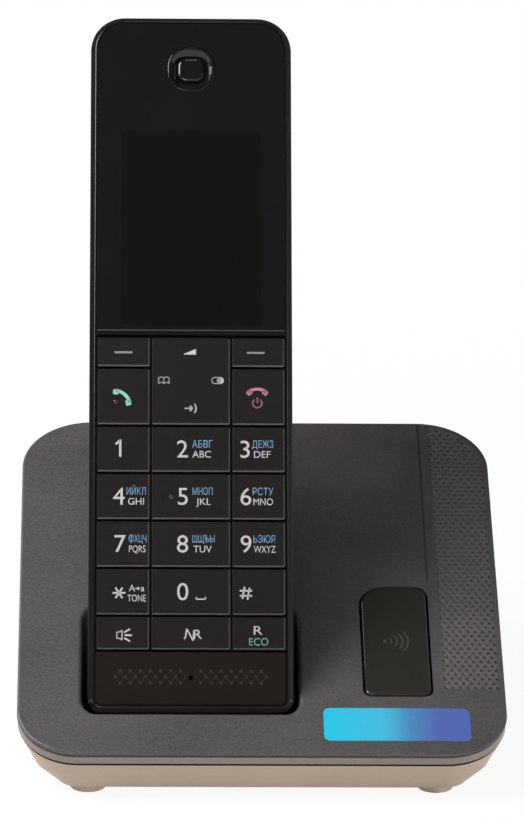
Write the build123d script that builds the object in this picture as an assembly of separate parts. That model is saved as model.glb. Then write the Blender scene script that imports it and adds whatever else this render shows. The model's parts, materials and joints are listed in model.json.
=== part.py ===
import os
from math import atan2, cos, degrees, radians, tan

from build123d import *

os.makedirs("parts", exist_ok=True)

# Base unit, in millimetres and degrees
BASE_WIDTH = 114.0
DECK_LENGTH = 120.0
DECK_TILT = 22.0
DECK_FRONT_HEIGHT = 12.0
FRONT_CORNER = 14.3
BACK_CORNER = 17.0
PLATE_THICKNESS = 1.8
PLATE_RIM = 0.9
PLATE_EDGE_ROUND = 0.6
SPIGOT_GAP = 0.3
BAND_HEIGHT = 2.7
SEAM_GAP = 0.4
SEAM_DEPTH = 0.7
BASE_WALL = 2.0
BASE_FLOOR = 2.0
FOOT_INSET = 4.0
FLANK_INSET = 10.0
LOWER_CORNER = 5.0
BILGE_HEIGHT = 3.4
BILGE_INSET = 4.5
BILGE_CORNER = 10.0
BILGE_FRONT = 2.4
FOOT_HEIGHT = 2.1
FOOT_RADIUS = 4.2
FOOT_SEAT = 0.7
FOOT_SIDE = 16.6
FOOT_FRONT, FOOT_BACK = 9.8, 11.0

# Deck features, measured on the deck from its front edge
FACET_WIDTH = 16.6
FACET_DROP = 0.4
CREASE_WIDTH = 0.5
CREASE_DEPTH = 0.3
FIELD_WIDTH = 14.1
FIELD_FRONT = 22.2
FIELD_MARGIN = 1.2
FIELD_DEPTH = 0.4
BUTTON_SIDE = 16.8
BUTTON_WIDTH = 16.5
BUTTON_FRONT, BUTTON_BACK = 19.5, 58.4
BUTTON_CORNERS = (2.2, 2.2, 3.6, 6.5)
BUTTON_GAP = 0.55
BUTTON_TRAVEL = 1.0
BUTTON_PROUD = 0.3
BUTTON_SKIRT = 3.4
BUTTON_WALL = 1.3
GUIDE_WALL = 1.4
LOCATOR_DEPTH = 7.6
LOCATOR_BOARD_THICKNESS = 1.2
LOCATOR_POST = 2.2
SWITCH_HEIGHT = 2.0

# Handset
HANDSET_WIDTH = 48.0
HANDSET_LENGTH = 170.0
HANDSET_THICKNESS = 20.5
HANDSET_TOP_RADIUS = 8.2
HANDSET_END_RADIUS = 3.2
PARTING_DEPTH = 8.5
CASE_WALL = 1.7
BEZEL_BEVEL = 1.2
BEZEL_SOFT = 0.25
BEZEL_WIDTH = 1.55
RECESS_DEPTH = 2.0
CHASSIS_THICKNESS = 1.3
CROWN = 0.9
SHOULDER_RADIUS = 6.0
HEEL_RADIUS = 7.0
BROW_RADIUS = 6.0

# How the handset sits in the base
HANDSET_X = -16.6
SEAT_DISTANCE = 15.0
SEAT_SINK = 1.0
LEAN = 36.3
POCKET_SIDE_GAP = 1.3
POCKET_BACK_GAP = 0.5
POCKET_FLOOR_GAP = 0.8
POCKET_CORNER = 3.4
POCKET_LIP = 1.1
CUP_WALL = 1.6

# Keypad, measured up from the handset's bottom end
PANEL_TOP = 14.35
KEY_GAP = 0.6
FUNCTION_ROW = 7.7
DIAL_ROW = 10.85
TALK_ROW = 13.55
SOFT_ROW = 7.05
MIDDLE_KEY = 18.4
KEY_SIDE_GAP = 0.35
COLUMN_GAP = 0.55
KEY_TOP = 0.1
KEY_THICKNESS = 1.4
KEY_EDGE = 0.3
KEY_TRAVEL = 0.5
STEM_GAP = 0.4
STEM_BOTTOM = -3.9
LENS_BAR = 0.9
LENS_GAP = 0.12

# Inside the handset
MAT_SHEET = 0.5
PAD_HEIGHT = 0.4
BOARD_THICKNESS = 1.0
BOARD_SIDE_GAP = 1.5
AERIAL_INSET = 2.8
CELL_RADIUS = 5.25
CELL_LENGTH = 44.5
CELL_SPACING = 10.9
CELL_START = 70.0
CELL_END_GAP = 3.0
TRAY_WALL = 1.2
COVER_SIDE = 6.5
COVER_START, COVER_END = 62.0, 124.0
COVER_THICKNESS = 1.6
COVER_GAP = 0.2
LEDGE_THICKNESS = 1.2
SCREW_SIDE = 4.7
SCREW_ROWS = (10.0, 147.5)

# Charging
CONTACT_X = 13.0
CONTACT_DEPTH = 11.0
CONTACT_WIDTH = 4.0
CONTACT_THICKNESS = 1.2
CONTACT_GAP = 0.3
CONTACT_LENGTH = 4.7
SLOT_GAP = 0.35

# Navigation pad
NAV_PAD_THICKNESS = 1.1
NAV_RIDGE = 0.8
NAV_PIN = 0.7
NAV_CLEARANCE = 0.3

# Earpiece
EARPIECE_FROM_TOP = 13.15
EARPIECE_WIDTH, EARPIECE_HEIGHT, EARPIECE_CORNER = 11.2, 11.0, 4.8
DISH_MARGIN = 0.5
DISH_DEPTH = 1.1
GRILLE_WIDTH, GRILLE_HEIGHT, GRILLE_CORNER = 7.3, 6.7, 2.5
GRILLE_GAP = 0.35
EARPIECE_RADIUS = 9.5

# Microphone, display and loudspeaker
MIC_Y = 8.2
MIC_RADIUS = 3.0
DISPLAY_SIDE = 6.4
DISPLAY_HEIGHT = 48.0
DISPLAY_OFFSET = 1.6
DISPLAY_GAP = 0.3
SPEAKER_RADIUS = 10.9
SPEAKER_GAP = 0.3
SPEAKER_WALL = 1.1
SPEAKER_OFFSET = 15.0
SLOT_PITCH = 2.4

# Base insides
BASE_SCREW_RADIUS = 1.25
BASE_SCREW_HEAD = 2.6
BASE_SCREW_SIDE = 15.0
BASE_SCREW_BACK = 22.0
SCREW_BITE = 4.5
POST_RADIUS = 3.6
POST_SHARE = 0.4
BASE_BOARD_HEIGHT = 8.0
BASE_BOARD_THICKNESS = 1.6
BASE_BOARD_SIDE = 20.0
BASE_BOARD_SHARE = 0.45
BASE_BOARD_BACK = 8.3
BOARD_POST_INSET = 5.0
BOARD_POST_RADIUS = 2.5
SHIELD_WIDTH, SHIELD_LENGTH, SHIELD_HEIGHT, SHIELD_SHEET = 22.0, 18.0, 3.2, 0.4
ANTENNA_INSET, ANTENNA_LENGTH, ANTENNA_HEIGHT, ANTENNA_SHEET = 2.2, 14.0, 12.0, 0.8
DC_JACK_SIDE, LINE_JACK_SIDE = 35.0, 41.0
DC_JACK_SIZE = (5.0, 14.0, 11.0)
LINE_JACK_SIZE = (7.0, 16.0, 12.5)
CAPACITOR_STEPS = (26.0, 18.0, 8.0)
JACK_GAP = 0.3
PLUG_RADIUS = 2.9
PIN_RADIUS = 0.9
VENT_COUNT, VENT_PITCH, VENT_WIDTH, VENT_LENGTH = 9, 5.0, 2.0, 18.0

LENS_START = PANEL_TOP + 7 * KEY_GAP + FUNCTION_ROW + 4 * DIAL_ROW + TALK_ROW + SOFT_ROW + LENS_BAR
LENS_START += KEY_GAP
SIDE_KEY = HANDSET_WIDTH / 2 - BEZEL_WIDTH - KEY_SIDE_GAP - MIDDLE_KEY / 2 - COLUMN_GAP
HANDSET_BOARD_HALF = HANDSET_WIDTH / 2 - CASE_WALL - BOARD_SIDE_GAP
COVER_HALF_WIDTH = HANDSET_WIDTH / 2 - COVER_SIDE
DISPLAY_HALF_WIDTH = HANDSET_WIDTH / 2 - DISPLAY_SIDE
SCREW_X = HANDSET_WIDTH / 2 - SCREW_SIDE
PLAN_DEPTH = DECK_LENGTH * cos(radians(DECK_TILT))
CREASE_X = BASE_WIDTH / 2 - FACET_WIDTH
FACET_ANGLE = degrees(atan2(FACET_DROP, FACET_WIDTH))
FIELD_LEFT = BASE_WIDTH / 2 - FIELD_WIDTH
BUTTON_RIGHT = BASE_WIDTH / 2 - BUTTON_SIDE
BUTTON_LEFT = BUTTON_RIGHT - BUTTON_WIDTH
BUTTON_X = (BUTTON_LEFT + BUTTON_RIGHT) / 2
BUTTON_MIDDLE = (BUTTON_FRONT + BUTTON_BACK) / 2
FOOT_SPREAD = BASE_WIDTH / 2 - FOOT_SIDE
BOARD_HALF = BASE_WIDTH / 2 - BASE_BOARD_SIDE
SHIELD_LEFT = BOARD_HALF - 3 - SHIELD_WIDTH
# Each jack: middle, half width, depth and height above the board
DC_JACK = (DC_JACK_SIDE - BASE_WIDTH / 2, *DC_JACK_SIZE)
LINE_JACK = (BASE_WIDTH / 2 - LINE_JACK_SIDE, *LINE_JACK_SIZE)
BOARD_SURFACE = BASE_BOARD_HEIGHT + BASE_BOARD_THICKNESS
RECESS_FLOOR = -RECESS_DEPTH
CHASSIS_BACK = RECESS_FLOOR - CHASSIS_THICKNESS
BOARD_TOP = STEM_BOTTOM - KEY_TRAVEL - 0.2 - PAD_HEIGHT - MAT_SHEET
BOARD_BACK = BOARD_TOP - BOARD_THICKNESS


# Shared shapes
def block(x0, x1, y0, y1, z0, z1):
    return Pos((x0 + x1) / 2, (y0 + y1) / 2, (z0 + z1) / 2) * Box(x1 - x0, y1 - y0, z1 - z0)


def column(x, y, z0, z1, radius):
    return Pos(x, y, (z0 + z1) / 2) * Cylinder(radius, z1 - z0)


def tile(x0, x1, y0, y1, z0, z1, radius):
    face = Pos((x0 + x1) / 2, (y0 + y1) / 2, z0) * RectangleRounded(x1 - x0, y1 - y0, radius)
    return extrude(face, z1 - z0)


def rounded_outline(width, y0, y1, near_radius, far_radius):
    face = Pos(0, (y0 + y1) / 2) * Rectangle(width, y1 - y0)
    face = fillet(face.vertices().group_by(Axis.Y)[0], near_radius)
    return fillet(face.vertices().group_by(Axis.Y)[-1], far_radius)


def handset_outline(inset=0.0):
    return rounded_outline(
        HANDSET_WIDTH - 2 * inset,
        inset,
        HANDSET_LENGTH - inset,
        max(HANDSET_END_RADIUS - inset, 0.4),
        HANDSET_TOP_RADIUS - inset,
    )


def deck_outline(inset=0.0):
    return rounded_outline(
        BASE_WIDTH - 2 * inset, inset, DECK_LENGTH - inset, FRONT_CORNER - inset, BACK_CORNER - inset
    )


def handset_back_body(inset=0.0):
    depth = HANDSET_THICKNESS - inset
    half = HANDSET_WIDTH / 2 - inset
    plan = Pos(0, 0, -depth) * extrude(handset_outline(inset), depth - PARTING_DEPTH)
    edges = [
        Line((-half, 0), (-half, CROWN - depth)),
        ThreePointArc((-half, CROWN - depth), (0, -depth), (half, CROWN - depth)),
        Line((half, CROWN - depth), (half, 0)),
        Line((half, 0), (-half, 0)),
    ]
    crown = make_face(edges)
    crown = fillet(crown.vertices().group_by(Axis.Y)[0], SHOULDER_RADIUS - inset)
    side = Pos(HANDSET_LENGTH / 2, -depth / 2) * Rectangle(HANDSET_LENGTH - 2 * inset, depth)
    low = side.vertices().group_by(Axis.Y)[0].sort_by(Axis.X)
    side = fillet(low[0], HEEL_RADIUS - inset)
    low = side.vertices().group_by(Axis.Y)[0].sort_by(Axis.X)
    side = fillet(low[-1], BROW_RADIUS - inset)
    along = extrude(Plane.XZ * crown, amount=-HANDSET_LENGTH)
    across = extrude(Plane.YZ * side, amount=half, both=True)
    return plan & along & across


def deck_plate():
    plate = Pos(0, 0, -PLATE_RIM) * extrude(deck_outline(), PLATE_RIM)
    plate = fillet(plate.edges().group_by(Axis.Z)[-1], PLATE_EDGE_ROUND)
    spigot = extrude(deck_outline(BASE_WALL + SPIGOT_GAP + 0.2), PLATE_THICKNESS - 0.2)
    return plate + Pos(0, 0, -PLATE_THICKNESS) * spigot


# The frame's origin lies under the middle of the whole object, handset included
SEAT_ON_DECK = Location((HANDSET_X, SEAT_DISTANCE, -SEAT_SINK), (LEAN, 0, 0))
TILT = Location((0, 0, DECK_FRONT_HEIGHT), (DECK_TILT, 0, 0))
NEAR_Y = (TILT * deck_plate()).bounding_box().min.Y
FAR_Y = (TILT * SEAT_ON_DECK * handset_back_body()).bounding_box().max.Y
FRONT_Y = -(NEAR_Y + FAR_Y) / 2
DECK = Location((0, FRONT_Y, DECK_FRONT_HEIGHT), (DECK_TILT, 0, 0))
SEAT = DECK * SEAT_ON_DECK


def deck_slab(low, high):
    return DECK * block(-150, 150, -150, 300, low, high)


def base_hull(inset=0.0, floor=0.0):
    y1 = FRONT_Y + PLAN_DEPTH - FOOT_INSET - inset
    back = BACK_CORNER - 2 - inset
    width = BASE_WIDTH - 2 * inset
    y0 = FRONT_Y + inset
    low = rounded_outline(width - 2 * FLANK_INSET, y0 + FOOT_INSET, y1, LOWER_CORNER - inset, back)
    bilge = rounded_outline(width - 2 * BILGE_INSET, y0 + BILGE_FRONT, y1, BILGE_CORNER - inset, back)
    seam = DECK * Pos(0, 0, -PLATE_RIM - BAND_HEIGHT)
    rim = deck_outline(inset + 0.2)
    bottom = FOOT_HEIGHT + floor
    sections = [Pos(0, 0, bottom) * low, Pos(0, 0, bottom + BILGE_HEIGHT) * bilge, seam * rim]
    return loft(sections, ruled=True) + seam * extrude(rim, BAND_HEIGHT)


def button_outline(inset=0.0):
    x0, x1 = BUTTON_LEFT + inset, BUTTON_RIGHT - inset
    y0, y1 = BUTTON_FRONT + inset, BUTTON_BACK - inset
    face = Pos((x0 + x1) / 2, (y0 + y1) / 2) * Rectangle(x1 - x0, y1 - y0)
    corners = [(x0, y0), (x1, y0), (x1, y1), (x0, y1)]
    for (x, y), radius in zip(corners, BUTTON_CORNERS):
        corner = face.vertices().sort_by_distance((x, y, 0))[0]
        face = fillet(corner, radius - inset)
    return face


def pocket(grow=0.0):
    floor = -POCKET_FLOOR_GAP - grow
    back = -(HANDSET_THICKNESS + POCKET_BACK_GAP + grow)
    profile = Pos((floor + 80) / 2, (back + 12) / 2) * Rectangle(80 - floor, 12 - back)
    corner = profile.vertices().sort_by_distance((floor, back, 0))[0]
    profile = fillet(corner, HEEL_RADIUS + POCKET_BACK_GAP + grow)
    half = HANDSET_WIDTH / 2 + POCKET_SIDE_GAP + grow
    shape = extrude(Plane.YZ * profile, amount=half, both=True)
    ends = [e for e in shape.edges().filter_by(Axis.Y) if abs(e.center().Z - back) < 0.01]
    return fillet(ends, POCKET_CORNER + grow)


def post_top(y):
    deck = DECK_FRONT_HEIGHT + y * tan(radians(DECK_TILT))
    return FOOT_HEIGHT + POST_SHARE * (deck - FOOT_HEIGHT)


BASE_SCREW_X = BASE_WIDTH / 2 - BASE_SCREW_SIDE
# The front screws lie under the front feet
BASE_SCREWS = [
    (side * x, FRONT_Y + y, post_top(y))
    for side in (-1, 1)
    for x, y in ((FOOT_SPREAD, FOOT_FRONT), (BASE_SCREW_X, PLAN_DEPTH - BASE_SCREW_BACK))
]
SCREW_SHOULDER = FOOT_HEIGHT + BASE_FLOOR + 1.6
FEET = [
    (x, FRONT_Y + y)
    for x in (-FOOT_SPREAD, FOOT_SPREAD)
    for y in (FOOT_FRONT, PLAN_DEPTH - FOOT_BACK)
]
BOARD_FRONT = FRONT_Y + BASE_BOARD_SHARE * PLAN_DEPTH
BOARD_REAR = FRONT_Y + PLAN_DEPTH - BASE_BOARD_BACK
BOARD_POSTS = [
    (x, y)
    for x in (BOARD_POST_INSET - BOARD_HALF, BOARD_HALF - BOARD_POST_INSET)
    for y in (BOARD_FRONT + BOARD_POST_INSET, BOARD_REAR - BOARD_POST_INSET)
]
JACK_FACE = FRONT_Y + PLAN_DEPTH - FOOT_INSET + 0.1


# Base unit
def base_top_cover():
    plate = deck_plate()
    facet = Pos(CREASE_X, 0, 0) * Rot(0, FACET_ANGLE, 0) * block(0, 40, -10, DECK_LENGTH + 10, 0, 5)
    plate -= facet
    half = CREASE_WIDTH / 2
    plate -= block(CREASE_X - half, CREASE_X + half, BUTTON_BACK + 1, DECK_LENGTH + 1, -CREASE_DEPTH, 1)
    field = Pos(0, 0, -FIELD_DEPTH - FACET_DROP) * extrude(deck_outline(FIELD_MARGIN), 5)
    field &= block(FIELD_LEFT, BASE_WIDTH, FIELD_FRONT, DECK_LENGTH, -5, 5)
    plate -= field
    cup = (SEAT_ON_DECK * pocket(CUP_WALL)) & block(-150, 150, -50, 200, -60, -0.8)
    cup &= block(-150, 150, 1, DECK_LENGTH - 1, -60, 0)
    plate += cup
    plate -= SEAT_ON_DECK * pocket()
    rim = [e for e in plate.edges() if pocket_rim(e)]
    plate = fillet(rim, POCKET_LIP)
    plate -= Pos(0, 0, -10) * extrude(button_outline(), 20)
    skirt = Pos(0, 0, -5) * extrude(button_outline(-GUIDE_WALL), 4.2)
    plate += skirt - Pos(0, 0, -6) * extrude(button_outline(), 8)
    for x in (BUTTON_LEFT - GUIDE_WALL - 2, BUTTON_RIGHT + GUIDE_WALL + 2):
        plate += column(x, BUTTON_MIDDLE, -LOCATOR_DEPTH, -1.0, LOCATOR_POST)
    for side in (-1, 1):
        plate += SEAT_ON_DECK * contact_sleeve(side * CONTACT_X)
        plate -= SEAT_ON_DECK * contact_slot(side * CONTACT_X)
    cover = DECK * plate
    for x, y, top in BASE_SCREWS:
        boss = column(x, y, top, 90, POST_RADIUS - 0.4) & deck_slab(-90, 0.4 - PLATE_THICKNESS)
        cover += boss - SEAT * pocket()
        cover -= column(x, y, top - 1, top + SCREW_BITE + 1, BASE_SCREW_RADIUS + 0.15)
    return cover


def pocket_rim(edge):
    box = edge.bounding_box()
    reach = HANDSET_WIDTH / 2 + POCKET_SIDE_GAP + 0.5
    flat = abs(box.min.Z) < 0.01 and abs(box.max.Z) < 0.01
    inside = abs(edge.center().X - HANDSET_X) < reach
    return flat and inside and 5 < edge.center().Y < DECK_LENGTH - 5


def contact_slot(x):
    half, thick = CONTACT_WIDTH / 2 + SLOT_GAP, CONTACT_THICKNESS / 2 + SLOT_GAP
    return block(x - half, x + half, -9, 1, -CONTACT_DEPTH - thick, -CONTACT_DEPTH + thick)


def contact_sleeve(x):
    half, thick = CONTACT_WIDTH / 2 + SLOT_GAP + 1, CONTACT_THICKNESS / 2 + SLOT_GAP + 1
    low = -POCKET_FLOOR_GAP - CUP_WALL - 1.2
    return block(x - half, x + half, low, low + 2, -CONTACT_DEPTH - thick, -CONTACT_DEPTH + thick)


def base_shell(low, high):
    return (base_hull() - base_hull(BASE_WALL, BASE_FLOOR)) & deck_slab(low, high)


def base_trim_band():
    top = -PLATE_RIM
    band = base_shell(top - BAND_HEIGHT, top)
    return band - (deck_slab(top - 0.3, top + 1) - base_hull(SEAM_DEPTH))


def base_lower_housing():
    top = -PLATE_RIM - BAND_HEIGHT
    tub = base_shell(-150, top)
    tub -= deck_slab(top - SEAM_GAP, top + 1) - base_hull(SEAM_DEPTH)
    floor = FOOT_HEIGHT + BASE_FLOOR
    for x, y, height in BASE_SCREWS:
        tub += column(x, y, FOOT_HEIGHT + 0.5, height, POST_RADIUS)
        tub -= column(x, y, 0, SCREW_SHOULDER, BASE_SCREW_HEAD + 0.3)
        tub -= column(x, y, 0, height + 1, BASE_SCREW_RADIUS + 0.35)
    for x, y in BOARD_POSTS:
        tub += column(x, y, floor - 0.5, BASE_BOARD_HEIGHT, BOARD_POST_RADIUS)
    for x, y in FEET:
        tub -= column(x, y, 0, FOOT_HEIGHT + FOOT_SEAT, FOOT_RADIUS + 0.1)
    back = FRONT_Y + PLAN_DEPTH
    tub -= jack_window(DC_JACK, back)
    tub -= jack_window(LINE_JACK, back)
    half = VENT_WIDTH / 2
    for step in range(VENT_COUNT):
        x = VENT_PITCH * (step - (VENT_COUNT - 1) / 2)
        tub -= block(x - half, x + half, BOARD_FRONT, BOARD_FRONT + VENT_LENGTH, 0, floor + 1)
    return tub


def jack_window(jack, back):
    x, half, depth, height = jack
    half += JACK_GAP
    top = BOARD_SURFACE + height + JACK_GAP
    return block(x - half, x + half, back - 12, back + 5, BOARD_SURFACE - 0.1, top)


def rubber_feet():
    return [
        fillet(foot.edges().group_by(Axis.Z)[0], 0.5)
        for foot in (column(x, y, 0, FOOT_HEIGHT + FOOT_SEAT, FOOT_RADIUS) for x, y in FEET)
    ]


def base_screws():
    screws = []
    for x, y, top in BASE_SCREWS:
        head = column(x, y, SCREW_SHOULDER - 1.5, SCREW_SHOULDER, BASE_SCREW_HEAD)
        head -= block(x - 2, x + 2, y - 0.4, y + 0.4, SCREW_SHOULDER - 2, SCREW_SHOULDER - 0.8)
        head -= block(x - 0.4, x + 0.4, y - 2, y + 2, SCREW_SHOULDER - 2, SCREW_SHOULDER - 0.8)
        screws.append(head + column(x, y, SCREW_SHOULDER - 0.2, top + SCREW_BITE, BASE_SCREW_RADIUS))
    return screws


def base_circuit_board():
    half = BOARD_HALF
    z0, z1 = BASE_BOARD_HEIGHT, BOARD_SURFACE
    board = tile(-half, half, BOARD_FRONT, BOARD_REAR, z0, z1, 1.5)
    for step in CAPACITOR_STEPS:
        board += column(SHIELD_LEFT - step, BOARD_FRONT + 14, z1, z1 + 9, 3.1)
    return board + block(7 - half, 17 - half, BOARD_FRONT + 12, BOARD_FRONT + 24, z1, z1 + 7)


def base_shield():
    x0, y0, z, sheet = SHIELD_LEFT, BOARD_FRONT + 8, BOARD_SURFACE, SHIELD_SHEET
    x1, y1 = x0 + SHIELD_WIDTH, y0 + SHIELD_LENGTH
    can = block(x0, x1, y0, y1, z, z + SHIELD_HEIGHT)
    can = fillet(can.edges().filter_by(Axis.Z), 1.0)
    top = z + SHIELD_HEIGHT - sheet
    return can - block(x0 + sheet, x1 - sheet, y0 + sheet, y1 - sheet, z - 1, top)


def base_antennas():
    strips = []
    for side in (-1, 1):
        outer = BOARD_HALF - ANTENNA_INSET
        x0, x1 = sorted((side * (outer - ANTENNA_SHEET), side * outer))
        foot0, foot1 = sorted((side * (outer - 3.8), side * outer))
        y, z = BOARD_REAR - ANTENNA_LENGTH - 10, BOARD_SURFACE
        strip = block(x0, x1, y, y + ANTENNA_LENGTH, z, z + ANTENNA_HEIGHT)
        strip += block(foot0, foot1, y + 4, y + 8, z, z + 0.6)
        strip -= block(x0 - 1, x1 + 1, y + 3, y + ANTENNA_LENGTH - 3, z + 4, z + 7)
        strips.append(strip)
    return strips


def dc_power_jack():
    x, half, depth, height = DC_JACK
    z = BOARD_SURFACE
    body = block(x - half, x + half, JACK_FACE - depth, JACK_FACE, z, z + height)
    axis = Pos(x, JACK_FACE, z + height / 2) * Rot(90, 0, 0)
    body -= axis * Cylinder(PLUG_RADIUS, 20)
    pin = Pos(0, 0, depth / 2) * Cylinder(PIN_RADIUS, depth - 2)
    return body + axis * (pin + Pos(0, 0, depth - 1) * Cylinder(PLUG_RADIUS + 0.3, 2))


def line_jack():
    x, half, depth, height = LINE_JACK
    z = BOARD_SURFACE
    body = block(x - half, x + half, JACK_FACE - depth, JACK_FACE, z, z + height)
    body -= block(x - 5, x + 5, JACK_FACE - depth + 3, JACK_FACE + 1, z + 2, z + height - 3.5)
    body -= block(x - 3.2, x + 3.2, JACK_FACE - depth + 3, JACK_FACE + 1, z + 4, z + height - 2)
    return body - block(x - 1.8, x + 1.8, JACK_FACE - depth + 3, JACK_FACE + 1, z + 4, z + height - 1)


def locator_board():
    x0, x1 = BUTTON_LEFT - 6, BUTTON_RIGHT + 6
    z0, z1 = -LOCATOR_DEPTH - LOCATOR_BOARD_THICKNESS, -LOCATOR_DEPTH
    return DECK * tile(x0, x1, BUTTON_MIDDLE - 7, BUTTON_MIDDLE + 7, z0, z1, 1.0)


def locator_switch():
    x, y, z = BUTTON_X, BUTTON_MIDDLE, -LOCATOR_DEPTH
    switch = block(x - 3, x + 3, y - 3, y + 3, z, z + SWITCH_HEIGHT - 0.4)
    return DECK * (switch + column(x, y, z + 1, z + SWITCH_HEIGHT, 1.7))


def locator_button():
    cap = Pos(0, 0, -BUTTON_SKIRT) * extrude(button_outline(BUTTON_GAP), BUTTON_SKIRT + BUTTON_PROUD)
    cap = fillet(cap.edges().group_by(Axis.Z)[-1], 0.6)
    cap -= Pos(0, 0, -4) * extrude(button_outline(BUTTON_GAP + BUTTON_WALL), 2.6)
    low = -LOCATOR_DEPTH + SWITCH_HEIGHT + BUTTON_TRAVEL + 0.25
    return DECK * (cap + column(BUTTON_X, BUTTON_MIDDLE, low, -1.2, 2.4))


def charge_contact(side):
    x, half = side * CONTACT_X, CONTACT_WIDTH / 2
    thick = CONTACT_THICKNESS / 2
    top, z = -CONTACT_GAP, -CONTACT_DEPTH
    strip = block(x - half, x + half, top - CONTACT_LENGTH, top, z - thick, z + thick)
    nose = strip.edges().filter_by(Axis.X).group_by(Axis.Y)[-1]
    return SEAT * fillet(nose, thick * 0.9)


# Handset
def key_rows():
    rows, low = [], PANEL_TOP + KEY_GAP
    for height in (FUNCTION_ROW, DIAL_ROW, DIAL_ROW, DIAL_ROW, DIAL_ROW, TALK_ROW, SOFT_ROW):
        rows.append((low, low + height))
        low += height + KEY_GAP
    return rows


ROWS = key_rows()
HALF_MIDDLE = MIDDLE_KEY / 2
COLUMNS = [
    (-HALF_MIDDLE - COLUMN_GAP - SIDE_KEY, -HALF_MIDDLE - COLUMN_GAP),
    (-HALF_MIDDLE, HALF_MIDDLE),
    (HALF_MIDDLE + COLUMN_GAP, HALF_MIDDLE + COLUMN_GAP + SIDE_KEY),
]
KEY_NAMES = [
    ("key_speaker", "key_message", "key_recall"),
    ("key_star", "key_0", "key_hash"),
    ("key_7", "key_8", "key_9"),
    ("key_4", "key_5", "key_6"),
    ("key_1", "key_2", "key_3"),
    ("key_talk", None, "key_off"),
    ("key_soft_left", None, "key_soft_right"),
]
KEYS = {
    name: COLUMNS[column_index] + ROWS[row_index]
    for row_index, names in enumerate(KEY_NAMES)
    for column_index, name in enumerate(names)
    if name
}
NAV_LOW, NAV_HIGH = ROWS[5][0], ROWS[6][1]
NAV_MIDDLE = (NAV_LOW + NAV_HIGH) / 2
NAV_RIDGE_Z = KEY_TOP - NAV_PAD_THICKNESS - 0.6
NAV_ROCKER_TOP = NAV_RIDGE_Z - 0.3
NAV_ROCKER_BACK = NAV_ROCKER_TOP - 1.5
NAV_PIN_Z = (NAV_ROCKER_TOP + NAV_ROCKER_BACK) / 2
NAV_OPENING = 7.3
NAV_OPENING_HALF = (NAV_HIGH - NAV_LOW) / 2 - 1.8
KEYPAD_TOP = NAV_HIGH + KEY_GAP
EARPIECE_Y = HANDSET_LENGTH - EARPIECE_FROM_TOP
DISPLAY_LOW = LENS_START + DISPLAY_OFFSET
DISPLAY = (-DISPLAY_HALF_WIDTH, DISPLAY_HALF_WIDTH, DISPLAY_LOW, DISPLAY_LOW + DISPLAY_HEIGHT)


def stem_size(x0, x1, y0, y1):
    return (x1 - x0) * 0.26, (y1 - y0) * 0.26


def handset_front_case():
    case = Pos(0, 0, -PARTING_DEPTH) * extrude(handset_outline(), PARTING_DEPTH)
    case = chamfer(case.edges().group_by(Axis.Z)[-1], BEZEL_BEVEL)
    edges = [e for e in case.edges() if abs(e.center().Z) < 0.01 or abs(e.center().Z + BEZEL_BEVEL) < 0.01]
    case = fillet(edges, BEZEL_SOFT)
    inner = extrude(handset_outline(CASE_WALL), PARTING_DEPTH + CHASSIS_BACK)
    case -= Pos(0, 0, -PARTING_DEPTH) * inner
    recess = Pos(0, 0, RECESS_FLOOR) * extrude(handset_outline(BEZEL_WIDTH), RECESS_DEPTH)
    case -= recess - block(-30, 30, KEYPAD_TOP, LENS_START, -5, 5)
    for x0, x1, y0, y1 in KEYS.values():
        x, y = (x0 + x1) / 2, (y0 + y1) / 2
        half_x, half_y = (size + STEM_GAP for size in stem_size(x0, x1, y0, y1))
        case -= block(x - half_x, x + half_x, y - half_y, y + half_y, -5, -1)
    x0, x1, y0, y1 = DISPLAY
    gap = DISPLAY_GAP
    case -= block(x0 - gap, x1 + gap, y0 - gap, y1 + gap, -5, -1)
    case -= tile(-3, 3, EARPIECE_Y - 2.7, EARPIECE_Y + 2.7, -5, -1, 1.5)
    case -= column(0, MIC_Y, -5, -1, 1.2)
    case -= nav_opening()
    for y in SCREW_ROWS:
        for x in (-SCREW_X, SCREW_X):
            case += column(x, y, -PARTING_DEPTH, CHASSIS_BACK + 0.3, 2.5)
            case -= column(x, y, -PARTING_DEPTH - 1, CHASSIS_BACK - 0.3, 1.15)
    return SEAT * case


def nav_opening():
    half, notch = NAV_OPENING, NAV_PIN + NAV_CLEARANCE
    hole = block(-half, half, NAV_MIDDLE - NAV_OPENING_HALF, NAV_MIDDLE + NAV_OPENING_HALF, -5, -1)
    return hole + block(-half - 1.9, half + 1.9, NAV_MIDDLE - notch, NAV_MIDDLE + notch, -5, -1)


def display_lens():
    lens = extrude(handset_outline(BEZEL_WIDTH + LENS_GAP), RECESS_DEPTH - 0.05)
    lens = Pos(0, 0, RECESS_FLOOR) * lens
    lens &= block(-30, 30, LENS_START + LENS_GAP, HANDSET_LENGTH, -5, 5)
    return SEAT * (lens - Pos(0, EARPIECE_Y, -3) * extrude(earpiece_outline(-0.1), 5))


def earpiece_outline(inset=0.0):
    width, height = EARPIECE_WIDTH - 2 * inset, EARPIECE_HEIGHT - 2 * inset
    return RectangleRounded(width, height, EARPIECE_CORNER - inset)


def grille_outline(inset=0.0):
    width, height = GRILLE_WIDTH - 2 * inset, GRILLE_HEIGHT - 2 * inset
    return RectangleRounded(width, height, GRILLE_CORNER - inset)


def earpiece_ring():
    ring = Pos(0, 0, RECESS_FLOOR) * extrude(earpiece_outline(), RECESS_DEPTH + 0.1)
    ring = fillet(ring.edges().group_by(Axis.Z)[-1], 0.25)
    ring -= Pos(0, 0, RECESS_FLOOR + 0.5) * extrude(grille_outline(), 5)
    low, high = Pos(0, 0, -DISH_DEPTH) * grille_outline(), Pos(0, 0, 0.2) * earpiece_outline(DISH_MARGIN)
    ring -= loft([low, high], ruled=True)
    ring -= Pos(0, 0, -3) * extrude(grille_outline(1.0), 5)
    return SEAT * Pos(0, EARPIECE_Y, 0) * ring


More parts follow.
